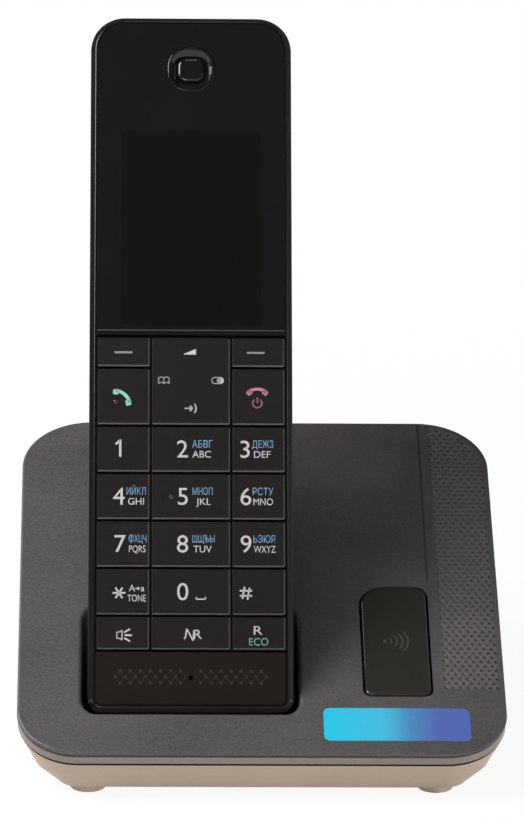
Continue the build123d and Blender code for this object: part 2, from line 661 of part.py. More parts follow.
def earpiece_grille():
    grille = Pos(0, 0, RECESS_FLOOR + 0.5) * extrude(grille_outline(GRILLE_GAP), 1.3)
    grille = fillet(grille.edges().group_by(Axis.Z)[-1], 0.9)
    return SEAT * Pos(0, EARPIECE_Y, 0) * grille


def microphone_panel():
    panel = extrude(handset_outline(BEZEL_WIDTH + LENS_GAP), RECESS_DEPTH + 0.05)
    panel = Pos(0, 0, RECESS_FLOOR) * panel
    panel &= block(-30, 30, 0, PANEL_TOP, -5, 5)
    panel = chamfer(panel.edges().group_by(Axis.Z)[-1], KEY_EDGE)
    return SEAT * (panel - column(0, MIC_Y, -3, 1, 0.6))


def key(x0, x1, y0, y1):
    z0 = KEY_TOP - KEY_THICKNESS
    cap = tile(x0, x1, y0, y1, z0, KEY_TOP, 0.4)
    cap = chamfer(cap.edges().group_by(Axis.Z)[-1], KEY_EDGE)
    x, y = (x0 + x1) / 2, (y0 + y1) / 2
    half_x, half_y = stem_size(x0, x1, y0, y1)
    return SEAT * (cap + block(x - half_x, x + half_x, y - half_y, y + half_y, STEM_BOTTOM, z0 + 0.2))


def nav_pad():
    x0, x1 = COLUMNS[1]
    z0 = KEY_TOP - NAV_PAD_THICKNESS
    pad = tile(x0, x1, NAV_LOW, NAV_HIGH, z0, KEY_TOP, 0.6)
    pad = chamfer(pad.edges().group_by(Axis.Z)[-1], KEY_EDGE)
    length = 2 * NAV_OPENING_HALF - 3
    ridge = Pos(0, NAV_MIDDLE, NAV_RIDGE_Z) * Rot(90, 0, 0) * Cylinder(NAV_RIDGE, length)
    web = block(-0.5, 0.5, NAV_MIDDLE - length / 2, NAV_MIDDLE + length / 2, NAV_RIDGE_Z, z0 + 0.2)
    return SEAT * (pad + ridge + web)


def nav_rocker():
    half, length = NAV_OPENING - 0.7, NAV_OPENING_HALF - 0.5
    frame = block(-half, half, NAV_MIDDLE - length, NAV_MIDDLE + length, NAV_ROCKER_BACK, NAV_ROCKER_TOP)
    frame += Pos(0, NAV_MIDDLE, NAV_PIN_Z) * Rot(0, 90, 0) * Cylinder(NAV_PIN, 2 * NAV_OPENING + 3)
    groove = Pos(0, NAV_MIDDLE, NAV_RIDGE_Z) * Rot(90, 0, 0) * Cylinder(NAV_RIDGE + NAV_CLEARANCE, 60)
    return SEAT * (frame - groove)


def keypad_mat():
    x0, x1 = COLUMNS[0][0] + 1, COLUMNS[2][1] - 1
    mat = tile(x0, x1, ROWS[0][0] - 0.3, NAV_HIGH + 0.3, BOARD_TOP, BOARD_TOP + MAT_SHEET, 1.0)
    spots = [((a + b) / 2, (c + d) / 2) for a, b, c, d in KEYS.values()]
    spots += [(0, NAV_MIDDLE - 6.5), (0, NAV_MIDDLE + 6.5), (-5, NAV_MIDDLE), (5, NAV_MIDDLE)]
    for x, y in spots:
        mat += column(x, y, BOARD_TOP, BOARD_TOP + MAT_SHEET + PAD_HEIGHT, 1.7)
    return SEAT * mat


def handset_board():
    end = DISPLAY[3] + 1.5
    board = tile(-HANDSET_BOARD_HALF, HANDSET_BOARD_HALF, 13.6, end, BOARD_BACK, BOARD_TOP, 1.0)
    return SEAT * board


def handset_shield():
    low, high = ROWS[1][0], ROWS[4][0]
    can = block(-14, 14, low, high, BOARD_BACK - 2.2, BOARD_BACK)
    can = fillet(can.edges().filter_by(Axis.Z), 1.0)
    return SEAT * (can - block(-13.6, 13.6, low + 0.4, high - 0.4, BOARD_BACK - 1.8, BOARD_BACK + 1))


def display_module():
    x0, x1, y0, y1 = DISPLAY
    module = block(x0, x1, y0, y1, BOARD_TOP, RECESS_FLOOR - 0.05)
    module = chamfer(module.edges().group_by(Axis.Z)[-1], 0.3)
    return SEAT * module


def earpiece_speaker():
    speaker = column(0, EARPIECE_Y, CHASSIS_BACK - 2.6, CHASSIS_BACK, EARPIECE_RADIUS)
    magnet = column(0, EARPIECE_Y, CHASSIS_BACK - 4.2, CHASSIS_BACK - 2, EARPIECE_RADIUS - 3)
    return SEAT * (speaker + magnet)


def microphone():
    return SEAT * column(0, MIC_Y, CHASSIS_BACK - 2.2, CHASSIS_BACK, MIC_RADIUS)


TRAY_HALF = CELL_SPACING / 2 + CELL_RADIUS + 0.35
TRAY_START, TRAY_END = CELL_START - CELL_END_GAP, CELL_START + CELL_LENGTH + CELL_END_GAP
CELL_Z = -(HANDSET_THICKNESS - COVER_THICKNESS - LEDGE_THICKNESS * 0.3) + CELL_RADIUS
TRAY_BACK = LEDGE_THICKNESS + CASE_WALL - HANDSET_THICKNESS
SPEAKER_Y = COVER_END + SPEAKER_OFFSET
SPEAKER_BACK = -(HANDSET_THICKNESS - CASE_WALL) + 0.6


def handset_back_case():
    skin = handset_back_body() - handset_back_body(CASE_WALL)
    open_half = COVER_HALF_WIDTH + COVER_GAP
    start, end = COVER_START - COVER_GAP, COVER_END + COVER_GAP
    skin -= block(-open_half, open_half, start, end, -30, -PARTING_DEPTH - 1)
    ledge = handset_back_body(CASE_WALL) - handset_back_body(CASE_WALL + LEDGE_THICKNESS)
    reach = open_half + 1.5
    skin += ledge & block(-reach, reach, start - 1.8, end + 1.8, -30, -PARTING_DEPTH - 2)
    outer = TRAY_HALF + TRAY_WALL
    start, end = TRAY_START - TRAY_WALL, TRAY_END + TRAY_WALL
    skin += block(-outer, outer, start, end, TRAY_BACK, BOARD_BACK)
    floor = CELL_Z + CELL_RADIUS + 0.15
    skin -= block(-TRAY_HALF, TRAY_HALF, TRAY_START, TRAY_END, -30, floor)
    for y in SCREW_ROWS:
        for x in (-SCREW_X, SCREW_X):
            skin += column(x, y, -25, -PARTING_DEPTH, 2.6) & handset_back_body(0.3)
            skin -= column(x, y, -25, -12.5, 2.1)
            skin -= column(x, y, -25, -PARTING_DEPTH + 1, 1.2)
    inner = SPEAKER_RADIUS + SPEAKER_GAP
    ring = column(0, SPEAKER_Y, SPEAKER_BACK - 0.6, SPEAKER_BACK + 3, inner + SPEAKER_WALL)
    skin += ring - column(0, SPEAKER_Y, -30, 0, inner)
    for step in range(-3, 4):
        half = ((SPEAKER_RADIUS - 1.9) ** 2 - (SLOT_PITCH * step) ** 2) ** 0.5
        y = SPEAKER_Y + SLOT_PITCH * step
        skin -= tile(-half, half, y - 0.55, y + 0.55, -30, SPEAKER_BACK + 0.7, 0.5)
    for side in (-1, 1):
        x = side * CONTACT_X
        skin -= block(x - 3, x + 3, -1, 0.8, -CONTACT_DEPTH - 1.9, -CONTACT_DEPTH + 1.9)
        skin -= block(x - 1, x + 1, -1, 3, -CONTACT_DEPTH - 0.8, -CONTACT_DEPTH + 0.8)
    return SEAT * skin


def charge_terminals():
    plates = []
    for side in (-1, 1):
        x = side * CONTACT_X
        plate = block(x - 2.9, x + 2.9, 0.02, 0.8, -CONTACT_DEPTH - 1.8, -CONTACT_DEPTH + 1.8)
        plate += block(x - 0.9, x + 0.9, 0.4, 3.4, -CONTACT_DEPTH - 0.6, -CONTACT_DEPTH + 0.6)
        plates.append(SEAT * plate)
    return plates


def battery_cover():
    x = COVER_HALF_WIDTH
    cover = handset_back_body() - handset_back_body(COVER_THICKNESS)
    cover &= block(-x, x, COVER_START, COVER_END, -30, -PARTING_DEPTH - 1)
    for step in range(4):
        y = COVER_START + 6 + 1.6 * step
        cover -= tile(-7, 7, y - 0.4, y + 0.4, -30, -HANDSET_THICKNESS + 0.4, 0.35)
    return SEAT * cover


def battery_cells():
    cells = []
    for side in (-1, 1):
        axis = Pos(side * CELL_SPACING / 2, CELL_START, CELL_Z) * Rot(-90, 0, 0)
        cell = Pos(0, 0, (CELL_LENGTH - 0.8) / 2) * Cylinder(CELL_RADIUS, CELL_LENGTH - 0.8)
        cell = fillet(cell.edges(), 0.4)
        tip = Pos(0, 0, CELL_LENGTH - 0.8) * Cylinder(1.9, 1.6)
        cells.append(SEAT * axis * (cell + tip))
    return cells


def battery_contacts():
    strips = []
    for x in (-CELL_SPACING / 2, CELL_SPACING / 2):
        for end, inward in ((TRAY_START, 1), (TRAY_END, -1)):
            y0, y1 = sorted((end + 0.05 * inward, end + 0.65 * inward))
            plate = block(x - 4, x + 4, y0, y1, CELL_Z - 4.5, CELL_Z + 4.5)
            y0, y1 = sorted((end + 0.55 * inward, end + (CELL_END_GAP - 0.15) * inward))
            plate += block(x - 1.5, x + 1.5, y0, y1, CELL_Z - 1.5, CELL_Z + 1.5)
            strips.append(SEAT * plate)
    return strips


def loudspeaker():
    speaker = column(0, SPEAKER_Y, SPEAKER_BACK + 0.1, SPEAKER_BACK + 2.6, SPEAKER_RADIUS)
    magnet = column(0, SPEAKER_Y, SPEAKER_BACK + 2, SPEAKER_BACK + 4.4, SPEAKER_RADIUS - 3.9)
    return SEAT * (speaker + magnet)


def handset_screws():
    screws = []
    for y in SCREW_ROWS:
        for x in (-SCREW_X, SCREW_X):
            screw = column(x, y, -14.0, -12.5, 1.9) + column(x, y, -12.7, CHASSIS_BACK - 1, 1.0)
            screw -= block(x - 1.4, x + 1.4, y - 0.3, y + 0.3, -15, -13.3)
            screw -= block(x - 0.3, x + 0.3, y - 1.4, y + 1.4, -15, -13.3)
            screws.append(SEAT * screw)
    return screws


def handset_antenna():
    y = DISPLAY[3] - 6
    half = HANDSET_BOARD_HALF - AERIAL_INSET
    strip = block(-half, half, y, y + 0.6, BOARD_BACK - 4, BOARD_BACK)
    return SEAT * (strip + block(-3, 3, y - 4, y + 0.5, BOARD_BACK - 0.5, BOARD_BACK))


PIECES = {
    "base_top_cover": base_top_cover,
    "base_trim_band": base_trim_band,
    "base_lower_housing": base_lower_housing,
    "rubber_feet": rubber_feet,
    "base_screws": base_screws,
    "base_circuit_board": base_circuit_board,
    "base_shield": base_shield,
    "base_antennas": base_antennas,
    "dc_power_jack": dc_power_jack,
    "line_jack": line_jack,
    "locator_board": locator_board,
    "locator_switch": locator_switch,
    "locator_button": locator_button,
    "charge_contact_left": lambda: charge_contact(-1),
    "charge_contact_right": lambda: charge_contact(1),
    "handset_front_case": handset_front_case,
    "display_lens": display_lens,
    "earpiece_ring": earpiece_ring,
    "earpiece_grille": earpiece_grille,
    "microphone_panel": microphone_panel,
    "nav_pad": nav_pad,
    "nav_rocker": nav_rocker,
    "keypad_mat": keypad_mat,
    "handset_board": handset_board,
    "handset_shield": handset_shield,
    "display_module": display_module,
    "earpiece_speaker": earpiece_speaker,
    "microphone": microphone,
    "handset_back_case": handset_back_case,
    "charge_terminals": charge_terminals,
    "battery_cover": battery_cover,
    "battery_cells": battery_cells,
    "battery_contacts": battery_contacts,
    "loudspeaker": loudspeaker,
    "handset_screws": handset_screws,
    "handset_antenna": handset_antenna,
}

for name, limits in KEYS.items():
    PIECES[name] = lambda limits=limits: key(*limits)

for name, make in PIECES.items():
    made = make()
    solids = [solid for shape in (made if isinstance(made, list) else [made]) for solid in shape.solids()]
    export_step(solids[0] if len(solids) == 1 else Compound(children=solids), f"parts/{name}.step")
    print(name, len(solids))
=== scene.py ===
import json
import math

import bmesh
import bpy
from mathutils import Matrix, Vector


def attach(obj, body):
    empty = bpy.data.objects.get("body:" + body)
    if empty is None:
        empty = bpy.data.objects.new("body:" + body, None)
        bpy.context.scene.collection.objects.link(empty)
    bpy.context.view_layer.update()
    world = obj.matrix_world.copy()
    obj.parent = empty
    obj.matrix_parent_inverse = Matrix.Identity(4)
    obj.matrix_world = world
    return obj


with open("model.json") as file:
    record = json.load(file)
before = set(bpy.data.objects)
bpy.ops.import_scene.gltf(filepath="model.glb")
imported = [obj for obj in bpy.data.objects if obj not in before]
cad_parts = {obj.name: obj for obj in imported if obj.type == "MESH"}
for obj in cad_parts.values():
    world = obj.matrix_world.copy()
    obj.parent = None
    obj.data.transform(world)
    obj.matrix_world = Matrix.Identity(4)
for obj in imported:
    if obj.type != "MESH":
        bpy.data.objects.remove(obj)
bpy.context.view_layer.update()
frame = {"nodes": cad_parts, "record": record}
nodes = frame["nodes"]
scene = bpy.context.scene
print("frame loaded:", len(nodes), "nodes")

# the deck's and the handset's own frames, in the CAD's millimetres
mm = 0.001
deckPlace = {"frontY": -59.4888, "frontZ": 12.0, "tilt": 22.0}
handsetPlace = {"x": -16.6, "along": 15.0, "sink": 1.0, "lean": 36.3}
# right of the crease the deck falls away a little
crease = {"x": 40.4, "drop": 0.4, "run": 16.6}
creaseTilt = math.degrees(math.atan2(crease["drop"], crease["run"]))


def turn(degrees, axis):
    return Matrix.Rotation(math.radians(degrees), 4, axis)


def shift(x, y, z=0.0):
    return Matrix.Translation((x, y, z))


deckFrame = Matrix.Diagonal((mm, mm, mm, 1)) @ shift(0, deckPlace["frontY"], deckPlace["frontZ"])
deckFrame = deckFrame @ turn(deckPlace["tilt"], "X")
handsetFrame = deckFrame @ shift(handsetPlace["x"], handsetPlace["along"], -handsetPlace["sink"])
handsetFrame = handsetFrame @ turn(handsetPlace["lean"], "X")


# colours are given as they look on screen, 0 to 255
def tone(red, green, blue):
    parts = [c / 255 for c in (red, green, blue)]
    return [c / 12.92 if c < 0.04045 else ((c + 0.055) / 1.055) ** 2.4 for c in parts] + [1.0]


# shader nodes
def addNode(tree, kind, **settings):
    node = tree.nodes.new("ShaderNode" + kind)
    for key, value in settings.items():
        setattr(node, key, value)
    return node


def setInputs(node, values):
    for label, value in values.items():
        node.inputs[label].default_value = value


def feed(tree, socket, value):
    if isinstance(value, (int, float, list)):
        socket.default_value = value
    else:
        tree.links.new(value, socket)


def addMath(tree, operation, *values):
    node = addNode(tree, "Math", operation=operation)
    for index, value in enumerate(values):
        feed(tree, node.inputs[index], value)
    return node.outputs[0]


def addNoise(tree, vector, scale, detail=2.0):
    node = addNode(tree, "TexNoise")
    for label, value in (("Vector", vector), ("Scale", scale), ("Detail", detail)):
        feed(tree, node.inputs[label], value)
    return node.outputs["Fac"]


def mixColour(tree, factor, first, second):
    node = addNode(tree, "Mix", data_type="RGBA")
    for name, value in (("Factor_Float", factor), ("A_Color", first), ("B_Color", second)):
        feed(tree, next(s for s in node.inputs if s.identifier == name), value)
    return next(s for s in node.outputs if s.identifier == "Result_Color")


def addRange(tree, value, fromMin, fromMax, toMin=0.0, toMax=1.0):
    node = addNode(tree, "MapRange")
    setInputs(node, {"From Min": fromMin, "From Max": fromMax, "To Min": toMin, "To Max": toMax})
    tree.links.new(value, node.inputs["Value"])
    return node.outputs["Result"]


# shader groups
lookOutputs = {"Colour": "Color", "Roughness": "Float", "Height": "Float"}


def newGroup(name, inputs, outputs):
    group = bpy.data.node_groups.new(name, "ShaderNodeTree")
    for direction, sockets in (("INPUT", inputs), ("OUTPUT", outputs)):
        for label, kind in sockets.items():
            group.interface.new_socket(label, in_out=direction, socket_type="NodeSocket" + kind)
    start = group.nodes.new("NodeGroupInput")
    end = group.nodes.new("NodeGroupOutput")
    return group, start.outputs, end.inputs


def closeLook(group, end, colour, rough, height):
    for label, value in (("Colour", colour), ("Roughness", rough), ("Height", height)):
        group.links.new(value, end[label])
    return group


# moulded plastic: a fine spark grain over a slow drift in tone
def mouldedGroup():
    grain = {"detail": 3.0, "driftScale": 35.0, "drift": 0.6, "middle": 0.5}
    inputs = {
        "Vector": "Vector", "Colour": "Color", "Bright": "Color", "Scale": "Float",
        "Contrast": "Float", "Roughness": "Float", "Spread": "Float",
    }
    group, start, end = newGroup("mouldedPlastic", inputs, lookOutputs)
    fine = addNoise(group, start["Vector"], start["Scale"], grain["detail"])
    slow = addNoise(group, start["Vector"], grain["driftScale"])
    drift = addMath(group, "MULTIPLY_ADD", slow, grain["drift"], -grain["drift"] / 2)
    blend = addMath(group, "ADD", fine, drift)
    blend = addMath(group, "MULTIPLY", blend, start["Contrast"])
    colour = mixColour(group, blend, start["Colour"], start["Bright"])
    change = addMath(group, "SUBTRACT", fine, grain["middle"])
    rough = addMath(group, "MULTIPLY_ADD", change, start["Spread"], start["Roughness"])
    return closeLook(group, end, colour, rough, fine)


# polished plastic: faint smears in the gloss
def glossGroup():
    film = {"smearScale": 60.0, "smearDetail": 4.0, "dustScale": 900.0}
    inputs = {
        "Vector": "Vector", "Colour": "Color", "Bright": "Color", "Roughness": "Float", "Spread": "Float",
    }
    group, start, end = newGroup("polishedPlastic", inputs, lookOutputs)
    smear = addNoise(group, start["Vector"], film["smearScale"], film["smearDetail"])
    dust = addNoise(group, start["Vector"], film["dustScale"])
    colour = mixColour(group, smear, start["Colour"], start["Bright"])
    both = addMath(group, "MULTIPLY", smear, dust)
    rough = addMath(group, "MULTIPLY_ADD", both, start["Spread"], start["Roughness"])
    return closeLook(group, end, colour, rough, dust)


# plated or drawn metal: fine streaks along one direction
def metalGroup():
    drawn = {"stretch": (6.0, 0.4, 1.0), "scale": 700.0, "detail": 3.0, "spread": 0.15}
    inputs = {"Vector": "Vector", "Colour": "Color", "Bright": "Color", "Roughness": "Float"}
    group, start, end = newGroup("drawnMetal", inputs, lookOutputs)
    stretch = addNode(group, "Mapping")
    stretch.inputs["Scale"].default_value = drawn["stretch"]
    group.links.new(start["Vector"], stretch.inputs["Vector"])
    streak = addNoise(group, stretch.outputs["Vector"], drawn["scale"], drawn["detail"])
    colour = mixColour(group, streak, start["Colour"], start["Bright"])
    rough = addMath(group, "MULTIPLY_ADD", streak, drawn["spread"], start["Roughness"])
    return closeLook(group, end, colour, rough, streak)


# circuit board: tracks and round pads under a green varnish
def boardGroup():
    brick = {
        "Scale": 220.0, "Mortar Size": 0.06,
        "Color1": tone(28, 92, 52), "Color2": tone(22, 76, 44), "Mortar": tone(60, 130, 82),
    }
    pad = {"scale": 300.0, "radius": 0.16, "tone": (176, 170, 150)}
    varnish = {"scale": 900.0, "rough": 0.3, "spread": 0.2}
    group, start, end = newGroup("boardTracks", {"Vector": "Vector"}, lookOutputs)
    tracks = addNode(group, "TexBrick")
    setInputs(tracks, brick)
    group.links.new(start["Vector"], tracks.inputs["Vector"])
    cells = addNode(group, "TexVoronoi")
    cells.inputs["Scale"].default_value = pad["scale"]
    group.links.new(start["Vector"], cells.inputs["Vector"])
    dot = addMath(group, "LESS_THAN", cells.outputs["Distance"], pad["radius"])
    colour = mixColour(group, dot, tracks.outputs["Color"], tone(*pad["tone"]))
    grain = addNoise(group, start["Vector"], varnish["scale"])
    rough = addMath(group, "MULTIPLY_ADD", grain, varnish["spread"], varnish["rough"])
    return closeLook(group, end, colour, rough, dot)


# painted shade line: a thin band at one height below the deck, in millimetres, where the colour is darkened to
# stand in for shade
def makeShadeLineGroup():
    inputs = {"Vector": "Vector", "Level": "Float", "Half": "Float"}
    group, start, end = newGroup("paintedShadeLine", inputs, {"Mask": "Float"})
    rise = math.radians(deckPlace["tilt"])
    upright = addNode(group, "VectorMath", operation="DOT_PRODUCT")
    upright.inputs[1].default_value = (0.0, -math.sin(rise) / mm, math.cos(rise) / mm)
    group.links.new(start["Vector"], upright.inputs[0])
    zero = deckPlace["frontZ"] * math.cos(rise) - deckPlace["frontY"] * math.sin(rise)
    level = addMath(group, "SUBTRACT", upright.outputs["Value"], zero)
    mask = addMath(group, "COMPARE", level, start["Level"], start["Half"])
    group.links.new(mask, end["Mask"])
    return group


# painted edge highlight: the handset's chamfers that face right or down are painted a little lighter, for the
# light they catch
def makeEdgeHighlightGroup():
    leastSlope = 0.5
    group, start, end = newGroup("edgeHighlightTree", {"Normal": "Vector"}, {"Mask": "Float"})
    across = handsetFrame.to_3x3().normalized()
    slopes = []
    for side in (across.col[0], -across.col[1], across.col[2]):
        node = addNode(group, "VectorMath", operation="DOT_PRODUCT")
        node.inputs[1].default_value = side
        group.links.new(start["Normal"], node.inputs[0])
        slopes.append(addMath(group, "GREATER_THAN", node.outputs["Value"], leastSlope))
    either = addMath(group, "MAXIMUM", slopes[0], slopes[1])
    group.links.new(addMath(group, "MULTIPLY", either, slopes[2]), end["Mask"])
    return group


moulded, gloss, metal, board = mouldedGroup(), glossGroup(), metalGroup(), boardGroup()
shadeLineTree, edgeHighlightTree = makeShadeLineGroup(), makeEdgeHighlightGroup()

# materials
grainDepth = 0.0001
shadowLine = (24, 20, 18)


def newMaterial(name):
    material = bpy.data.materials.new(name)
    material.use_nodes = True
    tree = material.node_tree
    return material, tree, next(n for n in tree.nodes if n.type == "BSDF_PRINCIPLED")


def addGroup(tree, group, values):
    node = addNode(tree, "Group", node_tree=group)
    setInputs(node, values)
    return node


def makeMaterial(name, group, values, bump, metallic=0.0, lines=(), lineTone=shadowLine, edge=None):
    material, tree, shader = newMaterial(name)
    place = addNode(tree, "TexCoord")
    look = addGroup(tree, group, values)
    tree.links.new(place.outputs["Object"], look.inputs["Vector"])
    colour = look.outputs["Colour"]
    # painted shade: each shade line darkens the colour in a thin band below the deck
    for level, half in lines:
        line = addGroup(tree, shadeLineTree, {"Level": level, "Half": half})
        tree.links.new(place.outputs["Object"], line.inputs["Vector"])
        colour = mixColour(tree, line.outputs["Mask"], colour, tone(*lineTone))
    # painted highlight: chamfers facing right or down take the lighter edge tone
    if edge:
        face = addNode(tree, "NewGeometry")
        line = addGroup(tree, edgeHighlightTree, {})
        tree.links.new(face.outputs["Normal"], line.inputs["Normal"])
        colour = mixColour(tree, line.outputs["Mask"], colour, tone(*edge))
    tree.links.new(colour, shader.inputs["Base Color"])
    tree.links.new(look.outputs["Roughness"], shader.inputs["Roughness"])
    relief = addNode(tree, "Bump")
    setInputs(relief, {"Strength": bump, "Distance": grainDepth})
    tree.links.new(look.outputs["Height"], relief.inputs["Height"])
    tree.links.new(relief.outputs["Normal"], shader.inputs["Normal"])
    shader.inputs["Metallic"].default_value = metallic
    return material


def plastic(name, colour, bright, scale, contrast, roughness, spread, **settings):
    values = {"Colour": tone(*colour), "Bright": tone(*bright), "Scale": scale, "Contrast": contrast}
    values.update({"Roughness": roughness, "Spread": spread})
    return makeMaterial(name, moulded, values, **settings)


def polished(name, colour, bright, roughness, spread, **settings):
    values = {"Colour": tone(*colour), "Bright": tone(*bright), "Roughness": roughness, "Spread": spread}
    return makeMaterial(name, gloss, values, **settings)


def plated(name, colour, bright, roughness):
    values = {"Colour": tone(*colour), "Bright": tone(*bright), "Roughness": roughness}
    return makeMaterial(name, metal, values, metallic=1.0, bump=0.1)


# each painted shade line of a material is its height from the deck and half its width, in millimetres: shade in
# the seam groove between band and housing, shadow under the deck plate's rim, and shade in the dimple floors
seamGrooveShade, plateRimShadow, dimpleFloorShade = (-3.8, 0.24), (-1.2, 0.35), (-0.8, 0.37)

deckPlastic = plastic(
    "deckPlastic", (42, 40, 40), (90, 87, 88),
    scale=1700, contrast=0.9, roughness=0.46, spread=0.2, bump=0.25,
)
# dimpled field: a lighter copy of the deck plastic, with painted shade in the dimple floors
fieldPlastic = plastic(
    "fieldPlastic", (56, 53, 52), (105, 101, 100),
    scale=1700, contrast=0.9, roughness=0.46, spread=0.2, bump=0.2, lines=[dimpleFloorShade], lineTone=(66, 63, 62),
)
# champagne housing: painted shade in the seam groove below the trim band
champagne = plastic(
    "champagneSatin", (155, 138, 123), (179, 162, 145),
    scale=3200, contrast=0.5, roughness=0.4, spread=0.15, bump=0.06, lines=[seamGrooveShade],
)
# trim band: a darker, greyer copy of the champagne, with painted shade in the seam groove and painted shadow under
# the deck plate's rim
bandSatin = plastic(
    "bandSatin", (115, 105, 98), (133, 121, 113),
    scale=3200, contrast=0.5, roughness=0.4, spread=0.15, bump=0.06, lines=[seamGrooveShade, plateRimShadow],
)
footRubber = plastic(
    "footRubber", (166, 150, 134), (188, 172, 156),
    scale=1800, contrast=0.6, roughness=0.75, spread=0.1, bump=0.3,
)
matRubber = plastic(
    "matRubber", (92, 96, 100), (120, 124, 128),
    scale=1500, contrast=0.6, roughness=0.7, spread=0.1, bump=0.2,
)
jackPlastic = plastic(
    "jackPlastic", (24, 24, 26), (44, 44, 46),
    scale=1600, contrast=0.6, roughness=0.45, spread=0.15, bump=0.1,
)
backPlastic = plastic(
    "backPlastic", (30, 29, 30), (52, 51, 52),
    scale=2400, contrast=0.6, roughness=0.42, spread=0.2, bump=0.15,
)
# edge: painted highlight on the key chamfers facing right or down
keyPlastic = plastic(
    "keyPlastic", (24, 22, 20), (40, 37, 35),
    scale=2800, contrast=0.5, roughness=0.22, spread=0.12, bump=0.06, edge=(82, 81, 77),
)
panelPlastic = plastic(
    "panelPlastic", (22, 17, 15), (36, 29, 26),
    scale=2800, contrast=0.5, roughness=0.22, spread=0.12, bump=0.06,
)
# edge: painted highlight on the pad's chamfers facing right or down
navPlastic = plastic(
    "navPlastic", (24, 22, 20), (40, 37, 35),
    scale=2800, contrast=0.5, roughness=0.22, spread=0.12, bump=0.06, edge=(82, 81, 77),
)
speakerBlack = plastic(
    "speakerBlack", (20, 20, 21), (46, 46, 48),
    scale=1800, contrast=0.6, roughness=0.5, spread=0.15, bump=0.2,
)
# edge: painted highlight on the case's bevels facing right or down
caseGloss = polished(
    "caseGloss", (14, 13, 13), (20, 19, 19),
    roughness=0.1, spread=0.1, bump=0.01, edge=(34, 33, 32),
)
lensGloss = polished("lensGloss", (14, 13, 13), (18, 17, 17), roughness=0.05, spread=0.06, bump=0.004)
windowGlass = polished("windowGlass", (9, 8, 7), (12, 11, 10), roughness=0.05, spread=0.05, bump=0.004)
ringGloss = polished("ringGloss", (13, 12, 12), (18, 17, 17), roughness=0.09, spread=0.08, bump=0.01)
buttonGloss = polished("buttonGloss", (34, 33, 29), (42, 41, 36), roughness=0.12, spread=0.1, bump=0.02)
displayGlass = polished("displayGlass", (20, 21, 22), (30, 31, 32), roughness=0.08, spread=0.05, bump=0.004)
cellWrap = polished("cellWrap", (36, 104, 70), (60, 132, 96), roughness=0.3, spread=0.2, bump=0.05)
screwSteel = plated("screwSteel", (120, 120, 122), (170, 170, 172), roughness=0.3)
tinnedSteel = plated("tinnedSteel", (170, 172, 174), (205, 206, 208), roughness=0.28)
contactMetal = plated("contactMetal", (190, 180, 150), (220, 212, 188), roughness=0.22)
circuitBoard = makeMaterial("circuitBoard", board, {}, bump=0.2)

slotLooks = {
    "deck_plastic": deckPlastic, "champagne": champagne, "rubber": footRubber, "mat_rubber": matRubber,
    "screw_steel": screwSteel, "circuit_board": circuitBoard, "tinned_steel": tinnedSteel,
    "jack_plastic": jackPlastic, "button_gloss": buttonGloss, "contact_metal": contactMetal,
    "case_gloss": caseGloss, "back_plastic": backPlastic, "lens_gloss": lensGloss, "ring_gloss": ringGloss,
    "panel_plastic": panelPlastic, "nav_plastic": navPlastic, "key_plastic": keyPlastic,
    "display_glass": displayGlass, "speaker_black": speakerBlack, "cell_wrap": cellWrap,
}
for entry in frame["record"]["subparts"]:
    holder = nodes[entry["node"]]
    holder.data.materials.clear()
    holder.data.materials.append(slotLooks[entry["material_slot"]])
nodes["base_trim_band"].data.materials[0] = bandSatin
print("materials on the CAD nodes")


# small shapes, drawn flat in millimetres
def join(target, part, matrix=None):
    if matrix is not None:
        bmesh.ops.transform(part, matrix=matrix, verts=part.verts)
    mesh = bpy.data.meshes.new("part")
    part.to_mesh(mesh)
    part.free()
    target.from_mesh(mesh)
    bpy.data.meshes.remove(mesh)


def wholeOf(shape):
    return shape.verts[:] + shape.edges[:] + shape.faces[:]


def rectangle(x0, x1, y0, y1):
    part = bmesh.new()
    place = shift((x0 + x1) / 2, (y0 + y1) / 2) @ Matrix.Diagonal(((x1 - x0) / 2, (y1 - y0) / 2, 1, 1))
    bmesh.ops.create_grid(part, x_segments=1, y_segments=1, size=1, matrix=place)
    return part


def addBar(target, x0, x1, y0, y1, matrix=None):
    join(target, rectangle(x0, x1, y0, y1), matrix)


def addPlate(target, x0, x1, y0, y1, radius, steps):
    part = rectangle(x0, x1, y0, y1)
    bmesh.ops.bevel(part, geom=part.verts[:], offset=radius, offset_type="OFFSET", segments=steps,
                    profile=0.5, affect="VERTICES", material=-1)
    join(target, part)


def addDisc(target, x, y, radius, segments=12):
    part = bmesh.new()
    bmesh.ops.create_circle(part, cap_ends=True, radius=radius, segments=segments)
    join(target, part, shift(x, y))


def addArc(target, x, y, radius, width, start, sweep, steps):
    part = bmesh.new()
    inner = bmesh.ops.create_vert(part, co=(radius - width / 2, 0, 0))["vert"][0]
    outer = bmesh.ops.create_vert(part, co=(radius + width / 2, 0, 0))["vert"][0]
    edge = part.edges.new((inner, outer))
    bmesh.ops.spin(part, geom=[edge, inner, outer], cent=(0, 0, 0), axis=(0, 0, 1),
                   angle=math.radians(sweep), steps=steps)
    bmesh.ops.recalc_face_normals(part, faces=part.faces)
    join(target, part, shift(x, y) @ turn(start, "Z"))


def addStroke(target, points, width, matrix):
    for (x0, y0), (x1, y1) in zip(points, points[1:]):
        place = matrix @ shift(x0, y0) @ turn(math.degrees(math.atan2(y1 - y0, x1 - x0)), "Z")
        addBar(target, 0, math.hypot(x1 - x0, y1 - y0), -width / 2, width / 2, place)


# height of a capital in the lettering at a size of one, and the steps along its curves
font = {"cap": 0.7, "steps": 4}


